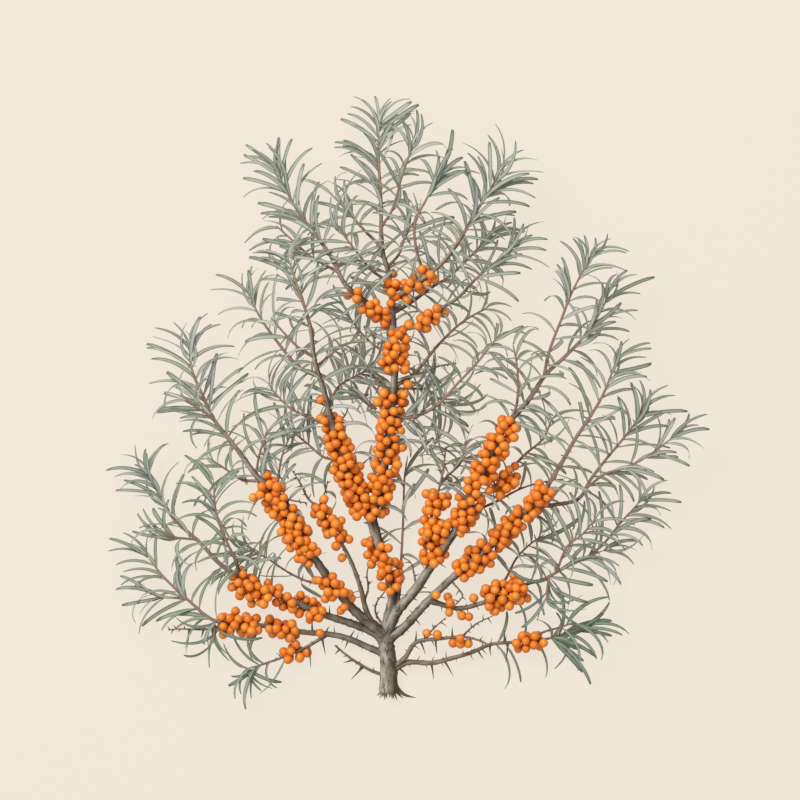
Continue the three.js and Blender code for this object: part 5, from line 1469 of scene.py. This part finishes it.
def leaf_at(stem, station, whorl, sizes, berries, random_draw):
    """One leaf on a stem, turned until it is clear of the berries and the floor; None if nowhere is."""
    share, up, full = station
    here = stem.frame_at(share)
    for attempt in range(LEAF_TRIES):
        rise = 0.72 * math.asin(math.sin(whorl)) + random_draw.uniform(-0.15, 0.15) * (attempt + 1)
        if attempt >= WILD_FROM:
            rise = abs(rise) if here[0].z < LOW_FOOT else -abs(rise)
        turn = rise if math.cos(whorl) > 0 else math.pi - rise
        splay = (1.05 - 0.75 * up ** 1.6) * random_draw.uniform(0.75, 1.2)
        out = outward(here, turn)
        along = (here[1] * math.cos(splay) + out * math.sin(splay)).normalized()
        inner = here[1] * math.sin(splay) - out * math.cos(splay)
        face = inner * random_draw.uniform(0.1, 0.8) + UP * random_draw.uniform(0.5, 1.2)
        face += along.cross(UP) * random_draw.uniform(-0.5, 0.5)
        across = along.cross(face).normalized()
        face = across.cross(along)
        hand = 1 if across.dot(here[1]) < 0 else 0
        if random_draw.random() < ODD_ONES:
            hand = 1 - hand
        bend = min(int(random_draw.random() ** 0.9 * len(LEAF_BENDS)), len(LEAF_BENDS) - 1)
        matrix = Matrix((across, along, face)).transposed()
        foot = here[0] + out * (stem.radius_at(share) * 0.5)
        size = full * (1 - SHORTER * attempt)
        leaf = settled(stem, foot, matrix, size, bend, hand, sizes, berries, random_draw)
        if leaf:
            return leaf
    return None


def tip_leaf(stem, place, sizes, berries, random_draw):
    """The leaf whose point stands over a place on the plan; None if the stem can't reach it."""
    low, high = SOLIDS_BOX
    x, y = [min(max(place[k] * MM, low[k] - SPARE[k] * 0.95), high[k] + SPARE[k] * 0.95) for k in (0, 1)]
    tip = Vector((x, y, 0))
    best = None
    for step in range(TIP_FEET):
        up = 0.1 + 0.89 * step / (TIP_FEET - 1)
        here = stem.frame_at(stem.leafy_from + (1 - stem.leafy_from) * up)
        gap = Vector((tip.x - here[0].x, tip.y - here[0].y, 0))
        want = 0.88 * leaf_length(stem, up, sizes)
        score = abs(gap.length - want) + BACKWARD * max(0.0, 0.6 - gap.normalized().dot(here[1]))
        if best is None or score < best[0]:
            best = (score, here, gap, want)
    _, here, gap, want = best
    if not TIP_REACH[0] < gap.length / want < TIP_REACH[1]:
        return None
    for attempt in range(TIP_TRIES):
        goal = gap + UP * (max(2.5 * MM, here[0].z + random_draw.uniform(-9, 5) * MM) - here[0].z)
        face = UP + goal.normalized().cross(UP) * random_draw.uniform(-0.6, 0.6)
        along = goal.normalized()
        across = along.cross(face).normalized()
        matrix = Matrix((across, along, across.cross(along))).transposed()
        # The leaf leaves its stem nearly along it and bows away.
        hand = 1 if across.dot(here[1]) < 0 else 0
        bend = random_draw.choice((0, 1, 2, 2, 3, 4)) if attempt < 8 else 0
        last, size = leaf_line(LEAF_BENDS[bend], hand * 2 - 1)[-1][0], goal.length
        for _ in range(2):
            end = matrix @ Vector((last.x * sizes.width, last.y * size, last.z * size))
            matrix = end.rotation_difference(goal).to_matrix() @ matrix
            size *= goal.length / end.length
        leaf = settled(stem, here[0], matrix, size, bend, hand, sizes, berries, random_draw)
        if leaf:
            return leaf
    return None


def leaf_places(stem, sizes, berries, random_draw):
    """The leaves of one stem: those at its edge, and the others spiralling up it."""
    places = [tip_leaf(stem, place, sizes, berries, random_draw) for place in LEAF_TIPS.get(stem.name, ())]
    stations = [*spur_stations(stem, sizes, random_draw)]
    if stem.has_leaves:
        stations += shoot_stations(stem, sizes, random_draw)
    for i, station in enumerate(stations):
        whorl = i * GOLDEN_TURN + random_draw.uniform(-0.3, 0.3)
        places.append(leaf_at(stem, station, whorl, sizes, berries, random_draw))
    return [place for place in places if place]


class SPRIG_OT_leaves(bpy.types.Operator):
    """Sets the narrow silvery leaves up this year's stems"""

    bl_idname = "sprig.leaves"
    bl_label = "Leaves"

    def execute(self, context):
        sizes = context.scene.sprig_leaves
        random_draw = random.Random(sizes.seed)
        spots = [spot[0] for group in all_berry_spots(context.scene.sprig_berries).values() for spot in group]
        berries = (KDTree(len(spots)), KDTree(len(spots)))  # the berries in space, and on the plan
        for index, spot in enumerate(spots):
            berries[0].insert(spot, index)
            berries[1].insert((spot.x, spot.y, 0), index)
        for tree in berries:
            tree.balance()
        shapes = [leaf_shape(f"leaf_{i}_{hand}", bend, hand) for i, bend in enumerate(LEAF_BENDS)
                  for hand in (-1, 1)]
        finish = leaf_finish(sizes)
        for piece, stems_of in LEAF_PIECES.items():
            stems = [stem for stem in STEMS.values() if stem.name.startswith(stems_of)]
            places = [place for stem in stems for place in leaf_places(stem, sizes, berries, random_draw)]
            made = scatter(piece, places, shapes, finish, size_spread=0.04, seed=sizes.seed)
            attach(made, BODY)
            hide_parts(*sorted({"shoot_" + stem.owner for stem in stems if stem.has_leaves}))
        return {"FINISHED"}


# ---- Buds ----
BUD_STEP = 9 * MM  # from one bud to the next
LEAST_BARE = 12 * MM  # a bare stretch shorter than this has no buds
THICKEST_BUDDED = 2 * MM  # radius of a twig past which its buds have grown out
LEAST_HEIGHT = 2.5 * MM  # lower than this a bud would touch the floor
BUD_SEED = 33


# A blunt bud of overlapping scales: every other point of a ring stands out, by turns.
BUD_RINGS = [(z, [width * (1.12 if (side + int(z * 4)) % 2 else 0.95) for side in range(6)])
             for z, width in ((-0.3, 0.3), (0.1, 0.44), (0.4, 0.48), (0.7, 0.34), (1.0, 0.08))]


class SPRIG_OT_buds(bpy.types.Operator):
    """Sets small scaly buds along the bare twigs"""

    bl_idname = "sprig.buds"
    bl_label = "Buds"

    def execute(self, context):
        random_draw = random.Random(BUD_SEED)
        places = []
        for stem in STEMS.values():
            bare = stem.leafy_from * stem.length
            if stem.parent is None or bare < LEAST_BARE:
                continue
            for i in range(int(bare / BUD_STEP)):
                share = (i + random_draw.uniform(0.2, 1)) * BUD_STEP / stem.length
                here = stem.frame_at(share)
                out = outward(here, random_draw.uniform(0, math.tau))
                lean = (out + here[1] * 0.7).normalized()
                foot = here[0] + out * (stem.radius_at(share) * 0.9)
                size = random_draw.uniform(0.9, 1.6) * MM
                if foot.z > LEAST_HEIGHT and stem.radius_at(share) < THICKEST_BUDDED:
                    turn = aim(lean, random_draw.uniform(0, 6))
                    places.append((foot, turn, (size,) * 3, 0, {"tone": 0.5}))
        finish = plain_finish("brown_bud_scales", linear("#7C624E"), 0.6, 0.6 * MM)
        shapes = [upright_shape("bud", BUD_RINGS)]
        made = scatter("buds", places, shapes, finish, size_spread=0.1, seed=3)
        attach(made, BODY)
        return {"FINISHED"}


# ---- Stage ----
FLOOR_REACH = 3.0  # from the middle of the view to each edge of the floor
KEY_PLACE = Vector((-1.1, 1.3, 2.2))  # from the middle of the view to the soft light
KEY_WIDTH = 1.3


class SPRIG_OT_stage(bpy.types.Operator):
    """Makes the pale floor, the soft light and the camera that looks down"""

    bl_idname = "sprig.stage"
    bl_label = "Stage"

    def execute(self, context):
        sizes = context.scene.sprig_stage
        centre = Vector((sizes.view_x, sizes.view_y, 0))
        floor_mesh = bpy.data.meshes.new("floor")
        corners = [centre + Vector((x, y, 0)) * FLOOR_REACH for x, y in ((-1, -1), (1, -1), (1, 1), (-1, 1))]
        floor_mesh.from_pydata(corners, [], [(0, 1, 2, 3)])
        # A light table: a white sheet lit from below as well, so that shadows on it are faint.
        finish = new_finish("lit_paper", {
            "Base Color": [value * (1 - sizes.floor_glow) for value in sizes.floor_colour],
            "Emission Color": sizes.floor_colour, "Emission Strength": sizes.floor_glow,
            "Roughness": 1.0, "Specular IOR Level": 0.0})[0]
        floor = show("floor", floor_mesh, (finish,))

        sky = bpy.data.worlds.new("soft_white")
        sky.use_nodes = True
        glow = sky.node_tree.nodes["Background"].inputs
        glow["Color"].default_value = (1, 1, 1, 1)
        glow["Strength"].default_value = sizes.sky_strength
        context.scene.world = sky

        key = bpy.data.lights.new("key", "AREA")
        key.shape = "DISK"
        key.size = KEY_WIDTH
        key.energy = sizes.key_power
        lamp = bpy.data.objects.new("key", key)
        lamp.location = centre + KEY_PLACE
        lamp.rotation_euler = (-KEY_PLACE).to_track_quat("-Z", "Y").to_euler()
        context.scene.collection.objects.link(lamp)

        lens = bpy.data.cameras.new("camera")
        lens.lens = sizes.focal_length
        lens.clip_end = 100
        eye = bpy.data.objects.new("camera", lens)
        in_view = SOLIDS_BOX[1][2] / 3  # the height at which the view is as wide as stated
        eye.location = centre + UP * (in_view + sizes.view_width * sizes.focal_length / lens.sensor_width)
        context.scene.collection.objects.link(eye)
        context.scene.camera = eye
        context.scene.view_settings.view_transform = "Standard"
        return {"FINISHED"}


# ---- Panel and registration ----
class SPRIG_PT_panel(bpy.types.Panel):
    """Lists the pieces of the sprig and their settings"""

    bl_idname = "SPRIG_PT_panel"
    bl_label = "Sea buckthorn sprig"
    bl_space_type = "VIEW_3D"
    bl_region_type = "UI"
    bl_category = "Sprig"

    def draw(self, context):
        for title, settings, operators in (
                ("Wood", context.scene.sprig_wood, ("sprig.wood", "sprig.young_stems", "sprig.buds")),
                ("Leaves", context.scene.sprig_leaves, ("sprig.leaves",)),
                ("Berries", context.scene.sprig_berries, ("sprig.berries",)),
                ("Stage", context.scene.sprig_stage, ("sprig.stage",))):
            box = self.layout.box()
            box.label(text=title)
            for key in settings.__annotations__:
                box.prop(settings, key)
            for operator in operators:
                box.operator(operator)


GROUPS = {"sprig_wood": SprigWoodSettings, "sprig_leaves": SprigLeafSettings,
          "sprig_berries": SprigBerrySettings, "sprig_stage": SprigStageSettings}
CLASSES = (*GROUPS.values(), SPRIG_OT_wood, SPRIG_OT_young_stems, SPRIG_OT_berries, SPRIG_OT_leaves,
           SPRIG_OT_buds, SPRIG_OT_stage, SPRIG_PT_panel)


def register():
    """Registers the add-on's classes and its settings."""
    for made in CLASSES:
        bpy.utils.register_class(made)
    for key, group in GROUPS.items():
        setattr(bpy.types.Scene, key, bpy.props.PointerProperty(type=group))


def unregister():
    """Takes them away again."""
    for key in GROUPS:
        delattr(bpy.types.Scene, key)
    for made in reversed(CLASSES):
        bpy.utils.unregister_class(made)


def main():
    """Builds the stage and every piece."""
    register()
    bpy.ops.sprig.stage()
    bpy.ops.sprig.wood()
    bpy.ops.sprig.young_stems()
    bpy.ops.sprig.buds()
    bpy.ops.sprig.berries()
    bpy.ops.sprig.leaves()


if __name__ == "__main__":
    main()
